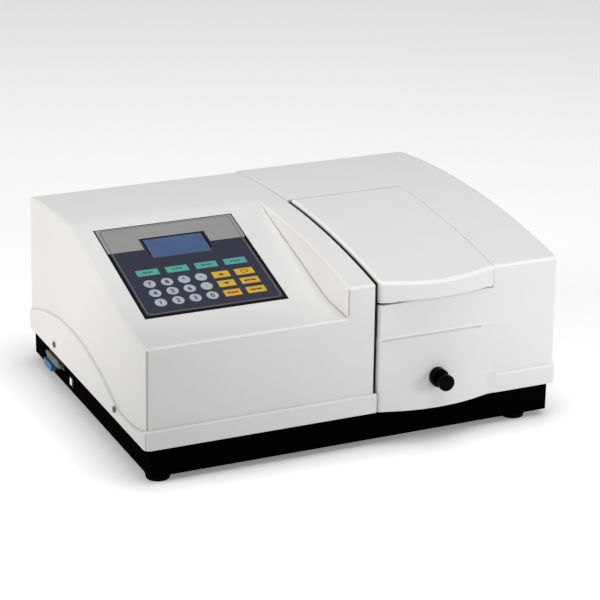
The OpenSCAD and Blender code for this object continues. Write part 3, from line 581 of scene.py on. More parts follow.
def lower_panel():
    """The bowed panel below the band, rounded at its left end and along its lower edge."""
    side_r, low_r, lip, thick = 4.0, 1.4, 0.6, 2.0
    cols = [(LID_L, 11.0), (LID_L, side_r)]
    cols += [(LID_L + side_r * (1 - cos_a), side_r * (1 - sin_a))
             for sin_a, cos_a in quarter(6)[1:]]
    cols += [(x, 0.0) for x in spread(LID_L + side_r + 2, PANEL_R, 3)]
    rows = [(0.0, 5.0), (0.0, low_r)]
    rows += [(low_r * (1 - cos_a), low_r * (1 - sin_a)) for sin_a, cos_a in quarter(4)[1:]]
    rows += [(z, 0.0) for z in spread(3, SKIRT_H - lip, 6) + [SKIRT_H + lip]
             + spread(SKIRT_H + 6, BAND - SHADE_H, 8) + [BAND + 1]]
    bm = bmesh.new()
    grid = [[bm.verts.new((x, max(panel_y(x, z) + dx + dz, -BOW), z)) for z, dz in rows]
            for x, dx in cols]
    for a, b in zip(grid, grid[1:]):
        for j in range(len(rows) - 1):
            bm.faces.new([a[j], b[j], b[j + 1], a[j + 1]])
    o = finish_mesh(bm, "lower_panel")
    m = o.modifiers.new("Solidify", "SOLIDIFY")
    m.thickness = thick * MM
    m.offset = -1.0
    apply_all(o)
    if o.data.polygons[0].normal.y > 0:
        o.data.flip_normals()
    cut(o, rod("y", (ROD_X, -30, ROD_Z), BUSH_D / 2 + 0.1, 60, 64))
    return shade(o)


def trim_height(y):
    """Height of the lower trim on the sides: a long arch that dips towards the front."""
    arc_r, apex, apex_y = 355.0, 49.0, ARCH_Y + 6
    dip_r, dip, dip_y = 201.0, 12.2, 62.0
    if y < DIP_END:
        return min(SKIRT_H, dip + dip_r - math.sqrt(dip_r * dip_r - (y - dip_y) ** 2))
    return apex - arc_r + math.sqrt(arc_r * arc_r - (y - apex_y) ** 2)


def skirt_path(x_front, x_rear, side):
    """Outer line of a skirt from its front end round the side to its rear end.

    side is -1 for the left cover and 1 for the right one.
    """
    r, steps = 7.0, 8
    x_side = 0.0 if side < 0 else CASE_W
    x_turn = x_side - side * (r + 20)
    path = [(x, 0.0, 0.0, -1.0, SKIRT_H) for x in (x_front, x_turn)]
    path += [(x_side - side * r * (1 - sin_a), r * (1 - cos_a), side * sin_a, -cos_a, SKIRT_H)
             for sin_a, cos_a in quarter(steps)]
    ys = spread(r + 2, DIP_END - 2, 3) + [DIP_END] + spread(DIP_END + 2, CASE_D - r - 2, 4)
    path += [(x_side, y, float(side), 0.0, trim_height(y)) for y in ys]
    end = trim_height(CASE_D - r)
    for k, (sin_a, cos_a) in enumerate(quarter(steps)):
        top = end + (REAR_SKIRT_H - end) * ease(k / steps)
        path.append((x_side - side * r * (1 - cos_a), CASE_D - r * (1 - sin_a),
                     side * cos_a, sin_a, top))
    path += [(x, CASE_D, 0.0, 1.0, REAR_SKIRT_H) for x in (x_turn, x_rear)]
    return path


def skirt_section(top):
    """Section of the skirt: (inset from the outer face, height)."""
    high_r, low_r, deep = 2.2, 0.7, STEP + 0.9
    out = [(deep, 0.0)]
    out += [(low_r - low_r * sin_a, low_r - low_r * cos_a) for sin_a, cos_a in quarter(3)]
    out += [(high_r - high_r * cos_a, top - high_r + high_r * sin_a)
            for sin_a, cos_a in quarter(4)]
    return out + [(deep, top)]


def skirts():
    paths = {"left_skirt": skirt_path(SKIRT_END, RIB_R, -1),
             "right_skirt": skirt_path(PANEL_R - 0.5, RIB_R + 0.4, 1)}
    return [shade(sweep(name, path, skirt_section), 40) for name, path in paths.items()]


def fan_guard():
    """Rings on a cross of bars in the fan's opening."""
    y0, deep, half = CASE_D - STEP - 3.4, 2.2, 1
    flat, ease_in, ease_out = 0.6, 0.3, 0.4
    reach = FAN_SIZE / 2 - 1.6
    pieces = []
    for r in (7.0, 14.0, 21.0):
        profile = [(r - half, ease_in), (r - flat, 0), (r + flat, 0), (r + half, ease_in),
                   (r + half, deep - ease_out), (r + flat, deep), (r - flat, deep),
                   (r - half, deep - ease_out), (r - half, ease_in)]
        pieces.append(turned(f"fan_guard_ring_{r:.0f}", profile, "y", (FAN_X, y0, FAN_Z), 72))
    for k in range(4):
        a = math.pi / 4 * k

        def bar(x, y, z, a=a):
            return place(FAN_X + x * math.cos(a) - z * math.sin(a), y0 + y,
                         FAN_Z + x * math.sin(a) + z * math.cos(a))

        piece = block((-reach, 0.2, -half), (reach, deep - 0.2, half), bar, f"fan_guard_bar_{k}")
        pieces.append(round_edges(piece, 0.4, all_edges))
    return [shade(p) for p in pieces]


def sill_lip():
    """A low rim along the front of the sill, just under the lid's lip."""
    high, deep, r = 2.3, 3.4, 0.9
    y0 = front_wall(SILL)
    profile = [(deep, -1.0), (0.0, -1.0)]
    profile += [(r - r * cos_a, high - r + r * sin_a) for sin_a, cos_a in quarter(4)]
    profile.append((deep, high))
    stations = ((LID_L + 0.2, 1.2, 0), (LID_L + 0.5, 0.6, 0), (LID_L + 1.4, 0.05, 0),
                (LID_L + 3.0, 0.0, 0), (330.0, 0.0, 0.4), (376.0, 0.0, 1.9),
                (HOLE_R - 0.02, 0.0, 2.3))
    bm = bmesh.new()
    rings = [[bm.verts.new((x, y0 + inset + y, SILL + z + (rise if z > 0 else 0)))
              for y, z in profile] for x, inset, rise in stations]
    for a, b in zip(rings, rings[1:]):
        bridge(bm, a, b)
    bm.faces.new(rings[0][::-1])
    bm.faces.new(rings[-1])
    return shade(finish_mesh(bm, "sill_lip"))


def hinge_posts():
    """Two posts on the sill, each with a broad foot and an eye for the pin."""
    width, foot_h = 4, 6
    out = []
    for k, x in enumerate(POSTS):
        o = block((x, HINGE_Y - 5, SILL - WALL), (x + width, HINGE_Y + 3, HINGE_Z),
                  name=f"hinge_post_{k}")
        foot = block((x, HINGE_Y - 5, SILL - WALL), (x + width, HINGE_Y + 12, SILL + foot_h))
        combine(o, foot, "UNION")
        combine(o, rod("x", (x, HINGE_Y - 1, HINGE_Z), 3.3, width), "UNION")
        cut(o, rod("x", (x - 1, HINGE_Y, HINGE_Z), 2, width + 2))
        round_edges(o, 0.4, lambda m, d: m.z > SILL + 0.5)
        out.append(shade(o))
    return out


# ---- lid ----
def lid_outline(t):
    """Grid of the lid, t inside its skin."""
    xs = [LID_L + t] + spread(LID_L + 6, LID_R - 6, 4) + [LID_R - t]
    rows = [None] + spread(12, 216, 12) + [LID_REAR - t]

    def corner(i, j, z=None):
        """Corner (i, j) at height z, or on top of the lid."""
        x, y = xs[i], rows[j]
        if y is None:
            y = LID_FRONT - bow_at(x) + t
        return x, y, arch(RIGHT_APEX, y) - t if z is None else z

    return len(xs), len(rows), corner


def lid_shell():
    nx, ny, corner = lid_outline(0.0)

    def edge_radius(i, j, across):
        if across:
            return {0: 4.0, ny - 1: 1.2}.get(j, 0.0)
        return {0: 3.0, nx - 1: 0.8}.get(i, 0.0)

    posts = {(0, 0): 5.0, (nx - 1, 0): 0.8, (0, ny - 1): 1.0, (nx - 1, ny - 1): 1.0}
    o = grid_block("lid_skin", nx, ny, corner, lambda i, j: corner(i, j, SILL + 1),
                   edge_radius, posts)
    nx, ny, inner_corner = lid_outline(WALL)
    inner = grid_block("inner", nx, ny, inner_corner, lambda i, j: inner_corner(i, j, SILL - 1))
    ceiling = block((LID_L - 2, 12, 124), (LID_R + 2, 197, 126.5))
    front_below_lip = block((LID_L - 1, -30, 0), (LID_R + 1, 30, LIP))
    rear_z, swing_r, pin_r, corner_r = 158, 42, 2.06, 4
    rear_swing = cut(block((LID_L - 1, HINGE_Y, 0), (LID_R + 1, LID_REAR + 1, rear_z)),
                     rod("x", (LID_L - 3, HINGE_Y, HINGE_Z), swing_r, LID_R - LID_L + 6, 96))
    rear_wall_slot = block((LID_L + WALL, LID_REAR - 8, 0), (LID_R - WALL, LID_REAR + 1, rear_z))
    post_slots = many_blocks([((x - 0.8, LID_REAR - 8, 150), (x + 4.8, LID_REAR + 1, HINGE_Z + 2))
                              for x in POSTS])
    pin_holes = [rod("x", (x, HINGE_Y, HINGE_Z), pin_r, WALL + 2)
                 for x in (LID_L - 1, LID_R - WALL - 1)]
    lip_end = cut(block((LID_R - corner_r, -30, LIP - 1), (LID_R + 1, STEP + 2.4, LIP + corner_r)),
                  rod("y", (LID_R - corner_r, -31, LIP + corner_r), corner_r, 45))
    cut(inner, ceiling)
    cut(o, inner, front_below_lip, rear_swing, rear_wall_slot, post_slots, *pin_holes, lip_end)

    def under_lip(m, d):
        return (abs(m.z - LIP) < 0.05 and abs(d.z) < 0.1 and 280 < m.x < 393
                and m.y < LID_FRONT + 1.2 - bow_at(m.x))

    round_edges(o, 2.0, under_lip, 4, False)
    return shade(o)


# ---- materials ----
def srgb(r, g, b):
    """A colour given as 8-bit screen values, as linear light."""
    out = []
    for c in (r, g, b):
        c /= 255
        out.append(c / 12.92 if c <= 0.04045 else ((c + 0.055) / 1.055) ** 2.4)
    return tuple(out)


def set_sockets(node, **values):
    """Sets a node's sockets, each named with _ for its spaces."""
    for socket, value in values.items():
        node.inputs[socket.replace("_", " ")].default_value = value


def material(name, colour, rough, metallic=0.0, mottle=0.03, mottle_scale=60.0, grain=900.0,
             bump=0.02, rough_spread=0.06, second=None, specular=0.5, stretch=(1, 1, 1),
             ior=1.5):
    """A procedural finish: cloudy mottling, a fine grain in relief and uneven gloss.

    colour, and second for the mottling's lighter end, are 8-bit screen values. mottle is the
    mottling's depth, mottle_scale and grain are noise scales, and bump is in millimetres.
    """
    m = bpy.data.materials.new(name)
    m.use_nodes = True
    n, link = m.node_tree.nodes, m.node_tree.links
    n.clear()
    out = n.new("ShaderNodeOutputMaterial")
    shader = n.new("ShaderNodeBsdfPrincipled")
    set_sockets(shader, Metallic=metallic, Specular_IOR_Level=specular, IOR=ior)
    place_at = n.new("ShaderNodeTexCoord")
    mapping = n.new("ShaderNodeMapping")
    set_sockets(mapping, Scale=stretch)
    link.new(place_at.outputs["Object"], mapping.inputs["Vector"])
    cloud = n.new("ShaderNodeTexNoise")
    set_sockets(cloud, Scale=mottle_scale, Detail=4.0)
    link.new(mapping.outputs["Vector"], cloud.inputs["Vector"])
    ramp = n.new("ShaderNodeValToRGB")
    dark, light = ramp.color_ramp.elements
    dark.position, light.position = 0.3, 0.7
    base = Vector(srgb(*colour))
    other = Vector(srgb(*second)) if second else base
    dark.color = (*(base * (1 - mottle)), 1)
    light.color = (*[min(1.0, c) for c in other * (1 + mottle)], 1)
    link.new(cloud.outputs["Fac"], ramp.inputs["Fac"])
    link.new(ramp.outputs["Color"], shader.inputs["Base Color"])
    fine = n.new("ShaderNodeTexNoise")
    set_sockets(fine, Scale=grain, Detail=2.0)
    link.new(mapping.outputs["Vector"], fine.inputs["Vector"])
    gloss = n.new("ShaderNodeMapRange")
    set_sockets(gloss, To_Min=max(0.0, rough - rough_spread), To_Max=min(1.0, rough + rough_spread))
    link.new(fine.outputs["Fac"], gloss.inputs["Value"])
    link.new(gloss.outputs["Result"], shader.inputs["Roughness"])
    relief = n.new("ShaderNodeBump")
    set_sockets(relief, Strength=1.0, Distance=bump * MM)
    link.new(fine.outputs["Fac"], relief.inputs["Height"])
    link.new(relief.outputs["Normal"], shader.inputs["Normal"])
    link.new(shader.outputs["BSDF"], out.inputs["Surface"])
    return m


def glass(name, colour, rough, alpha):
    m = material(name, colour, rough, mottle=0.02, bump=0.004, rough_spread=0.01)
    set_sockets(m.node_tree.nodes["Principled BSDF"], Alpha=alpha, Coat_Weight=0.5,
                Coat_Roughness=0.15)
    return m


def cover(name, colour, rough=0.5):
    """Moulded cover plastic; painted shade deepens towards the casing's lower front left corner."""
    towards_corner, darkest_painted_shade = (-0.45, -0.9, -0.8), 0.7
    m = material(name, colour, rough, mottle=0.008, mottle_scale=18, grain=1400, bump=0.012,
                 rough_spread=0.05, specular=0.35)
    n, link = m.node_tree.nodes, m.node_tree.links
    # Painted shade: the base colour is scaled down along towards_corner.
    along = n.new("ShaderNodeVectorMath")
    along.operation = "DOT_PRODUCT"
    along.inputs[1].default_value = towards_corner
    link.new(n["Texture Coordinate"].outputs["Object"], along.inputs[0])
    fade = n.new("ShaderNodeMapRange")
    set_sockets(fade, From_Min=-0.02, From_Max=0.22, To_Min=1.0, To_Max=darkest_painted_shade)
    link.new(along.outputs["Value"], fade.inputs["Value"])
    tone = n.new("ShaderNodeVectorMath")
    tone.operation = "SCALE"
    link.new(n["Color Ramp"].outputs["Color"], tone.inputs[0])
    link.new(fade.outputs["Result"], tone.inputs["Scale"])
    link.new(tone.outputs["Vector"], n["Principled BSDF"].inputs["Base Color"])
    return m


# The record's finishes by slot: colour, roughness and what differs from a plain finish.
BRIGHT_KEY = dict(mottle=0.04, grain=1200, bump=0.012)
LOOKS = {
    "black_steel": ((3, 3, 3), 0.55, dict(
        mottle=0.15, grain=1800, rough_spread=0.08, specular=0.4, ior=1.02)),
    "rubber": ((6, 6, 6), 0.75, dict(mottle=0.12, grain=700, specular=0.4, ior=1.1)),
    "screw_steel": ((112, 110, 106), 0.4, dict(metallic=0.8, grain=1500, bump=0.01)),
    "cast_aluminium": ((150, 152, 156), 0.5, dict(
        metallic=0.85, mottle=0.08, grain=420, bump=0.06, rough_spread=0.1)),
    "foam_rubber": ((20, 20, 21), 0.9, dict(mottle=0.2, grain=1600, bump=0.12, specular=0.15)),
    "black_anodised": ((24, 24, 26), 0.4, dict(
        metallic=0.3, mottle=0.1, grain=1500, bump=0.012, rough_spread=0.1)),
    "ground_steel": ((195, 196, 200), 0.2, dict(
        metallic=1.0, mottle=0.04, grain=800, bump=0.01, stretch=(1, 0.04, 1))),
    "black_plastic": ((3, 3, 3), 0.22, dict(
        mottle=0.1, grain=1100, bump=0.006, rough_spread=0.04, ior=1.1)),
    "lcd": ((68, 91, 133), 0.25, dict(
        mottle=0.05, mottle_scale=25, grain=1500, bump=0.004, second=(75, 98, 138),
        specular=0.2)),
    "overlay_film": ((40, 45, 62), 0.38, dict(
        mottle=0.05, mottle_scale=30, grain=1700, specular=0.3)),
    "circuit_board": ((24, 84, 48), 0.45, dict(
        mottle=0.25, mottle_scale=140, grain=500, bump=0.03)),
    "zinc_plate": ((172, 174, 178), 0.35, dict(
        metallic=0.9, mottle=0.1, mottle_scale=90, grain=600, rough_spread=0.12)),
    "red_plastic": ((170, 24, 20), 0.35, dict(mottle=0.06, grain=1100, bump=0.012)),
    "blue_plastic": ((44, 118, 166), 0.4, dict(mottle=0.06, grain=1100, bump=0.012)),
    "lamp_house_metal": ((64, 64, 66), 0.6, dict(
        metallic=0.4, mottle=0.14, grain=600, bump=0.05)),
    "mirror_coat": ((214, 216, 220), 0.06, dict(
        metallic=1.0, mottle=0.02, grain=300, bump=0.001, rough_spread=0.02)),
    "dark_paint": ((36, 37, 40), 0.7, dict(mottle=0.15, bump=0.04, specular=0.3)),
    "motor_steel": ((104, 104, 108), 0.4, dict(metallic=0.8, mottle=0.08, bump=0.015)),
    "grey_key": ((170, 180, 188), 0.4, dict(grain=1200, bump=0.012)),
    "green_key": ((74, 163, 150), 0.42, BRIGHT_KEY),
    "yellow_key": ((212, 170, 40), 0.42, BRIGHT_KEY),
}
FINISH = {name: material(name, colour, rough, **rest)
          for name, (colour, rough, rest) in LOOKS.items()}
FINISH["cover_plastic"] = cover("cover_plastic", (231, 231, 230))
FINISH["lens_glass"] = glass("lens_glass", (205, 222, 226), 0.04, 0.45)
FINISH["lamp_glass"] = glass("lamp_glass", (226, 228, 222), 0.03, 0.5)

# Painted light and shade on the covers, and finishes for prints and small pieces with no slot.
# Painted highlight: a lighter copy of the cover plastic for rounded edges that catch the light.
PAINTED_HIGHLIGHT = cover("cover_painted_highlight", (245, 245, 244), 0.42)
# Painted shade: a darker copy of the cover plastic for edges, creases and undersides in shade.
PAINTED_EDGE_SHADE = cover("cover_painted_edge_shade", (190, 188, 186), 0.6)
SOFT_SHADE = cover("cover_soft_shade", (214, 213, 212), 0.6)
# Painted light: a lighter copy of the cover plastic for the rib's left wall, which faces the left
# lamp.
RIB_WALL_PAINTED_LIGHT = cover("cover_rib_wall_painted_light", (245, 244, 242))
ORANGE_KEY = material("orange_key", (222, 160, 44), 0.42, **BRIGHT_KEY)
DULL_SHELL = material("dull_shell", (118, 110, 104), 0.5, 0.5, mottle=0.2, mottle_scale=120,
                      grain=700, bump=0.03)
WHITE_INSERT = material("white_insert", (250, 248, 244), 0.4, grain=1100, bump=0.01)
SILVER_FILM = material("silver_film", (152, 152, 151), 0.42, 0.1, mottle_scale=200, grain=1700,
                       bump=0.016, stretch=(0.2, 1, 1))
BLACK_FILM = material("black_film", (12, 9, 16), 0.45, mottle=0.08, grain=1700, bump=0.01,
                      specular=0.08)
LINE_FILM = material("line_film", (112, 110, 116), 0.45, mottle=0.06, grain=1500, bump=0.01,
                     specular=0.2)
INK = material("ink", (30, 33, 42), 0.55, mottle=0.1, grain=1500, bump=0.01)
GREEN_INK = material("green_ink", (30, 96, 88), 0.55, mottle=0.08, grain=1500, bump=0.01)
BROWN_INK = material("brown_ink", (62, 42, 14), 0.55, mottle=0.08, grain=1500, bump=0.01)
# Painted shade: a near-black finish for the sheet that darkens the gap between the covers.
GAP_PAINTED_SHADE = material("gap_painted_shade", (34, 30, 28), 0.8, mottle=0.15, bump=0.03, specular=0.1)


def paint(o, finish):
    """Gives an object a record slot's finish or one of this script's own materials."""
    m = FINISH[finish] if isinstance(finish, str) else finish
    o.data.materials.clear()
    o.data.materials.append(m)
    return o


def tint(o, *rules):
    """Gives the faces picked by wanted(middle, normal), in casing millimetres, a material."""
    for finish, wanted in rules:
        o.data.materials.append(finish)
        slot = len(o.data.materials) - 1
        for p in o.data.polygons:
            if wanted(p.center / MM + TO_CASING, p.normal):
                p.material_index = slot


def soften(o, width):
    """Rounds the sharp edges of a CAD node with modifiers, and shades it smoothly."""
    m = o.modifiers.new("Weld", "WELD")
    m.merge_threshold = 0.01 * MM
    if width:
        m = o.modifiers.new("Bevel", "BEVEL")
        m.width = width * MM
        m.segments = 2
        m.limit_method = "ANGLE"
        m.angle_limit = math.radians(35)
        m.use_clamp_overlap = True
        m.harden_normals = False
    for p in o.data.polygons:
        p.use_smooth = True
    m = o.modifiers.new("WeightedNormal", "WEIGHTED_NORMAL")
    m.keep_sharp = True


# Edge rounding of the CAD nodes, in millimetres; nodes without one keep their edges sharp.
KEY_ROUND = 0.35
SOFT = {
    0.2: ("keypad_board", "main_board", "usb_port"),
    0.3: ("case_screws", "hinge_pins", "rod_knob", "display_module", "parallel_port",
          "serial_port", "tungsten_lamp", "deuterium_lamp", "source_mirror",
          "collimating_mirrors", "grating_table", "filter_wheel"),
    0.4: ("window_lenses", "guide_rails", "fan_rotor"),
    0.5: ("cell_block", "pull_rod", "power_supply", "fan_frame", "lamp_house"),
    0.6: ("inlet_module", "power_rocker", "stepper_motors", "detector_housing"),
    0.7: ("rod_bush",),
    0.8: ("rubber_feet", "lid_seal", "sample_box"),
    1.0: ("optical_bench", "monochromator_case"),
    1.6: ("base_pan",),
}


def dress_cad():
    """Rounds and paints the nodes that come from the CAD as they are."""
    slots = {part.get("node", part.get("name")): part.get("material_slot")
             for part in frame["record"].get("subparts", [])}
    widths = {name: width for width, names in SOFT.items() for name in names}
    for name, o in nodes.items():
        soften(o, widths.get(name, KEY_ROUND if "key_" in name else 0.0))
        paint(o, slots[name])
    for name, finish in (("command_key_5", ORANGE_KEY), ("parallel_port", DULL_SHELL),
                         ("usb_port", FINISH["dark_paint"])):
        nodes[name].data.materials[0] = finish


# ---- keypad ----
def decal(name, outline, finish, thick, w=OVER_TOP, holes=(), body="instrument"):
    """A printed film at the height w of the deck's frame."""
    o = film(name, outline, w, w + thick, holes)
    paint(o, finish)
    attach(o, body)


def key_mark(name, outline, finish, body, holes=()):
    """A printed mark on a key."""
    decal(name, outline, finish, 0.03, KEY_TOP, holes, body)


def ring_outlines(x0, y0, x1, y1, line, r):
    """Outer and inner outline of a thin line round a rectangle."""
    return (rounded_outline(x0, y0, x1, y1, r),
            rounded_outline(x0 + line, y0 + line, x1 - line, y1 - line, max(0.3, r - line)))


def glyph(name, text, u, v, size, finish, body):
    """A printed character on a key, with its middle at (u, v)."""
    curve = bpy.data.curves.new(name, "FONT")
    curve.body = text
    curve.align_x = curve.align_y = "CENTER"
    curve.size = size
    curve.extrude = 0.02
    curve.offset = 0.24
    text_object = add_object(name + "_curve", curve)
    mesh = evaluated_mesh(text_object)
    bpy.data.objects.remove(text_object)
    xs = [p.co.x for p in mesh.vertices]
    ys = [p.co.y for p in mesh.vertices]
    middle = Vector(((min(xs) + max(xs)) / 2, (min(ys) + max(ys)) / 2, 0))
    for p in mesh.vertices:
        q = p.co - middle
        p.co = on_deck(u + q.x, v + q.y, KEY_TOP + q.z + 0.01)
    mesh.name = name
    o = add_object(name, mesh)
    paint(o, finish)
    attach(o, body)


def bars(name, u, v, width, finish, body, count=2):
    """Short printed bars that stand for a key's legend."""
    total = width * 0.62
    gap, half_h = 0.8, 1.2
    w = total / count - gap
    for k in range(count):
        x = u - total / 2 + k * total / count + gap / 2
        outline = rounded_outline(x, v - half_h, x + w, v + half_h, 0.4)
        key_mark(f"{name}_{k}", outline, finish, body)


def arrow(u, v, up):
    """A triangle that points up or down the slope."""
    s = 1 if up else -1
    return [(u - 3.4, v - 2.0 * s), (u + 3.4, v - 2.0 * s), (u, v + 2.4 * s)][::s]


def overlay_films():
    """The overlay's printing: border, silver header, thin line, bezel and display."""
    x0, y0, x1, y1 = OVER_L, OVER_F, OVER_L + OVER_W, OVER_F + OVER_H
    decal("film_border", rounded_outline(x0, y0, x1, y1, 1.2), BLACK_FILM, 0.012,
          holes=[rounded_outline(x0 + 3.2, y0 + 4.0, x1 - 3.2, y1 - 3.2, 3.0)])
    wx0, wy0, wx1, wy1 = WINDOW[0], WINDOW[1], WINDOW[0] + WINDOW[2], WINDOW[1] + WINDOW[3]
    header, inset = 187.0, 1.2
    notch_l, notch_r, notch_top = wx0 - 4.0, wx1 + 4.0, wy1 + 2.0
    decal("film_header",
          [(x0 + inset, header), (notch_l, header), (notch_l, notch_top), (notch_r, notch_top),
           (notch_r, header), (x1 - inset, header), (x1 - inset, y1 - inset),
           (x0 + inset, y1 - inset)], SILVER_FILM, 0.03)
    outer, inner = ring_outlines(x0 + 4.7, y0 + 5.4, x1 - 4.7, y1 - 2.6, 1.1, 5.0)
    decal("film_line", outer, LINE_FILM, 0.045, holes=[inner])
    foot, left_edge, right_edge = wy0 + 6, wx0 - 1.6, wx1 + 2.2
    decal("film_bezel",
          [(left_edge, foot), (wx0 - 0.2, foot), (wx0 - 0.2, wy1 + 0.2), (wx1 + 0.2, wy1 + 0.2),
           (wx1 + 0.2, foot), (right_edge, foot), (right_edge, wy1 + 1.9),
           (left_edge, wy1 + 1.9)], BLACK_FILM, 0.035)
    gap = 0.5
    decal("display_screen", rounded_outline(wx0 + gap, wy0 + gap, wx1 - gap, wy1 - gap, gap),
          "lcd", 0.3, -0.45)


def key_prints():
    """Digits on the round keys; bars, arrows and a frame on the others."""
    for v, row in zip(KEY_V, ("7 8 9 sign", "4 5 6 point", "1 2 3 0")):
        for u, key in zip(KEY_U, row.split()):
            text = {"sign": "-", "point": "."}.get(key, key)
            glyph(f"key_{key}_print", text, u, v, 8.8, INK, f"key_{key}_body")
    for k, u in enumerate(FUN_U):
        key = f"function_key_{k + 1}"
        bars(f"{key}_print", u, FUN_V, FUN_W * 0.8, GREEN_INK, f"{key}_body", 2 + k % 2)
    for k in range(6):
        u, v = CMD_U[k % 2], KEY_V[k // 2]
        body = f"command_key_{k + 1}_body"
        name = f"command_key_{k + 1}_print"
        if k in (0, 2):
            key_mark(name, arrow(u, v, k == 0), BROWN_INK, body)
        elif k == 1:
            outer, inner = ring_outlines(u - 4, v - 2.6, u + 4, v + 2.6, 0.9, 0.8)
            key_mark(name, outer, BROWN_INK, body, [inner])
        else:
            bars(name, u, v, CMD_W[k % 2] * 1.1, BROWN_INK, body, 3 if k == 4 else 2)


# ---- small things ----
def gap_shade_sheet():
    """Painted shade: a dark sheet in the gap between the covers, a little under their outer faces.
    """
    deep, low, mid, rear = 2.0, 6.0, 100.0, 372.0
    tops = [(y, arch(LEFT_APEX, y) - deep) for y in spread(8.5, rear, 14)]
    rows = [(5.2 + STEP, low), (front_wall(mid, deep + 1.2), mid)] + tops + [(rear, low)]
    bm = bmesh.new()
    left_ring, right_ring = ([bm.verts.new((x, y, z)) for y, z in rows]
                             for x in (RIB_R + 0.1, LID_L - 0.4))
    bm.faces.new(left_ring)
    bm.faces.new(right_ring[::-1])
    bridge(bm, left_ring, right_ring)
    return paint(finish_mesh(bm, "gap_shade_sheet"), GAP_PAINTED_SHADE)


def usb_insert():
    """The white insert of the square data socket on the left side."""
    x, y, z = 6.0, 250.4, -20.5
    deep, width, height = 5.0, 6.0, 8.2
    o = block((x, y - width / 2, z - height / 2), (x + deep, y + width / 2, z + height / 2),
              name="usb_insert")
    return paint(round_edges(o, 0.15, all_edges), WHITE_INSERT)


# ---- painted highlights, light and shade on the covers ----
# Each rule takes a face's middle m, in casing millimetres, and its outward normal n.
def front_to_top(n, flattest=-0.4):
    """A face of the rounding where the front turns into the top."""
    return -0.94 < n.y < flattest


def left_edges():
    """Where the left cover gets painted highlights, painted shade and painted light."""
    def crease(m, n):
        return abs(m.z - CREASE) < 4 and m.y < 9 and m.x < RIB_L - 3 and front_to_top(n)

    def rib_front_top(m, n):
        return m.x > RIB_L and m.z > 118 and m.y < 7 and n.z > 0.3 and front_to_top(n)

    def front_left_corner(m, n):
        return (m.x < 5.2 and m.y < 5.2 and m.z < CREASE - 1
                and n.x < -0.45 and n.y < -0.45 and abs(n.z) < 0.3)

    def rib_wall(m, n):
        return m.x > RIB_L - 3 and n.x < -0.6 and n.z < 0.75

    def rib_foot(m, n):
        return RIB_L - 2.6 < m.x < RIB_L and 8 < m.y < DECK_BEND and -0.6 < n.x < -0.1

    def rib_front_corner(m, n):
        return abs(m.x - RIB_L) < 0.3 and m.y < 7.3 and m.z > CREASE + 2 and n.x < -0.9

    return ((PAINTED_HIGHLIGHT, crease), (PAINTED_HIGHLIGHT, rib_front_top), (PAINTED_EDGE_SHADE, front_left_corner),
            (RIB_WALL_PAINTED_LIGHT, rib_wall), (PAINTED_EDGE_SHADE, rib_foot), (PAINTED_EDGE_SHADE, rib_front_corner))


def right_edges():
    """Where the right cover gets painted highlights."""
    def front_top(m, n):
        return m.y < 9 and m.x > HOLE_R and n.z > 0.3 and front_to_top(n)

    def band_underside(m, n):
        return (abs(m.z - BAND) < 2.4 and m.y < 6 and m.x < PANEL_R
                and -0.8 < n.z < -0.15 and n.y < -0.5)

    return (PAINTED_HIGHLIGHT, front_top), (PAINTED_HIGHLIGHT, band_underside)


def lid_edges():
    """Where the lid gets painted highlights and painted shade."""
    def front_top(m, n):
        return m.y < 9 and m.z > LIP + 8 and n.z > 0.3 and front_to_top(n, -0.35)

    def left_top(m, n):
        return m.x < LID_L + 3.2 and -0.9 < n.x < -0.1 and n.z > 0.3

    def lip(m, n):
        return m.y < 9 and m.z < LIP + 2.4 and -0.45 < n.z < -0.1

    def lip_underside(m, n):
        return m.y < 9 and m.z < LIP + 2.4 and n.z < -0.45

    return ((PAINTED_HIGHLIGHT, front_top), (PAINTED_HIGHLIGHT, left_top), (SOFT_SHADE, lip),
            (PAINTED_EDGE_SHADE, lip_underside))


def under_the_band(m, n):
    """The strip of the lower panel that the band shades."""
    return m.z > BAND - SHADE_H and 266 < m.x < 386


def skirt_top(m, n):
    return m.z > SKIRT_H - 2.4 and m.y < 4 and n.z > 0.3


def skirt_corner(m, n):
    return (m.x < 8 and m.y < 8 and m.z < SKIRT_H - 2.3
            and -0.83 < n.x < -0.7 and abs(n.z) < 0.3)


# ---- build ----
dress_cad()

left = left_cover()
right = right_cover()
panel = lower_panel()
skirt_left, skirt_right = skirts()
guard = fan_guard()
posts = hinge_posts()
rim = sill_lip()
lid = lid_shell()
for o in (left, right, panel, skirt_left, skirt_right, rim, *guard, *posts):
    paint(o, "cover_plastic")
    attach(o, "instrument")
paint(lid, "cover_plastic")
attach(lid, "lid")
# Paint highlights and shade onto edges, creases and undersides, and light onto the rib's wall.
tint(left, *left_edges())
tint(right, *right_edges())
tint(panel, (SOFT_SHADE, under_the_band))
tint(lid, *lid_edges())
tint(skirt_left, (PAINTED_HIGHLIGHT, skirt_top), (PAINTED_EDGE_SHADE, skirt_corner))
tint(skirt_right, (PAINTED_HIGHLIGHT, skirt_top))
for o in (left, skirt_left, *guard):
    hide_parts("left_cover")
for o in (right, panel, skirt_right, rim, *posts):
    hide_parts("right_cover")
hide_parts("lid_shell")
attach(gap_shade_sheet(), "instrument")
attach(usb_insert(), "instrument")
overlay_films()
key_prints()


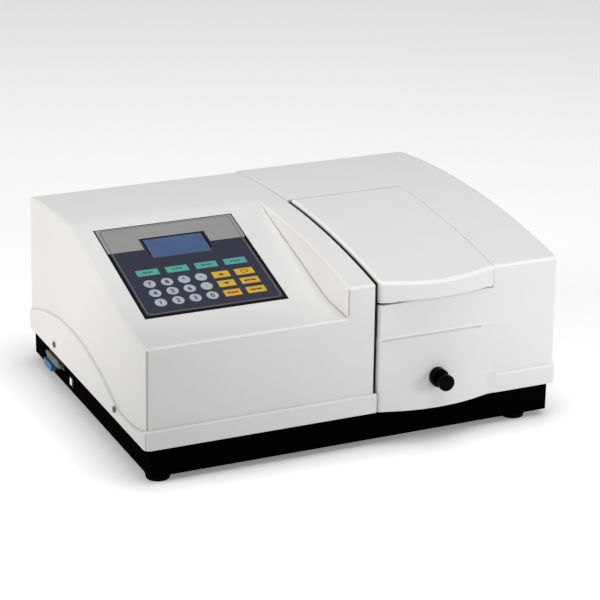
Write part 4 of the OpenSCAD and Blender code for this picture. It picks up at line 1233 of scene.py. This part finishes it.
# ---- stage ----
def stage():
    """A pale floor that glows a little, under an even white sky."""
    bm = bmesh.new()
    bmesh.ops.create_grid(bm, x_segments=2, y_segments=2, size=12000)
    for v in bm.verts:
        v.co.z = -CASE_Z
    floor = finish_mesh(bm, "studio_floor")
    finish = material("floor", (253, 253, 253), 0.9, mottle=0.002, mottle_scale=2, grain=50,
                      bump=0.0, specular=0.0)
    set_sockets(finish.node_tree.nodes["Principled BSDF"], Emission_Color=(1, 1, 1, 1),
                Emission_Strength=0.16)
    floor.data.materials.append(finish)
    world = bpy.data.worlds.new("studio")
    world.use_nodes = True
    set_sockets(world.node_tree.nodes["Background"], Color=(1, 1, 1, 1), Strength=0.33)
    bpy.context.scene.world = world


def lamp(name, at, target, size, watts, colour=(1, 1, 1)):
    """A round soft light that faces its target; places and size in metres."""
    light = bpy.data.lights.new(name, "AREA")
    light.shape = "DISK"
    light.size = size
    light.energy = watts
    light.color = colour
    o = add_object(name, light)
    o.location = at
    o.rotation_euler = (Vector(target) - Vector(at)).to_track_quat("-Z", "Y").to_euler()


def camera():
    """The camera's place in metres, its three angles and its lens."""
    at = Vector((-0.943761, -2.064734, 0.965096))
    yaw, pitch, roll = (math.radians(a) for a in (24.827, 20.667, 0.929))
    forward = Vector((math.sin(yaw) * math.cos(pitch), math.cos(yaw) * math.cos(pitch),
                      -math.sin(pitch)))
    across = Vector((math.cos(yaw), -math.sin(yaw), 0))
    up = across.cross(forward)
    right_way = math.cos(roll) * across + math.sin(roll) * up
    up_way = -math.sin(roll) * across + math.cos(roll) * up
    turn = Matrix((right_way, up_way, -forward)).transposed().to_4x4()
    data = bpy.data.cameras.new("camera")
    data.lens = 131.02
    data.sensor_width = 36
    data.clip_start = 0.05
    data.clip_end = 40
    o = add_object("camera", data)
    o.matrix_world = Matrix.Translation(at) @ turn
    bpy.context.scene.camera = o


stage()
lamp("key_light", (0.9, -1.05, 0.34), (0.2, -0.15, 0.12), 0.4, 4.0)
lamp("left_light", (-2.8, -0.1, 1.4), (0, 0, 0.1), 1.8, 35, (1.0, 0.94, 0.895))
lamp("top_light", (0.3, -0.35, 3.0), (0, 0, 0.1), 2.0, 40.5)
camera()
view = bpy.context.scene.view_settings
view.view_transform = "Standard"
view.look = "None"
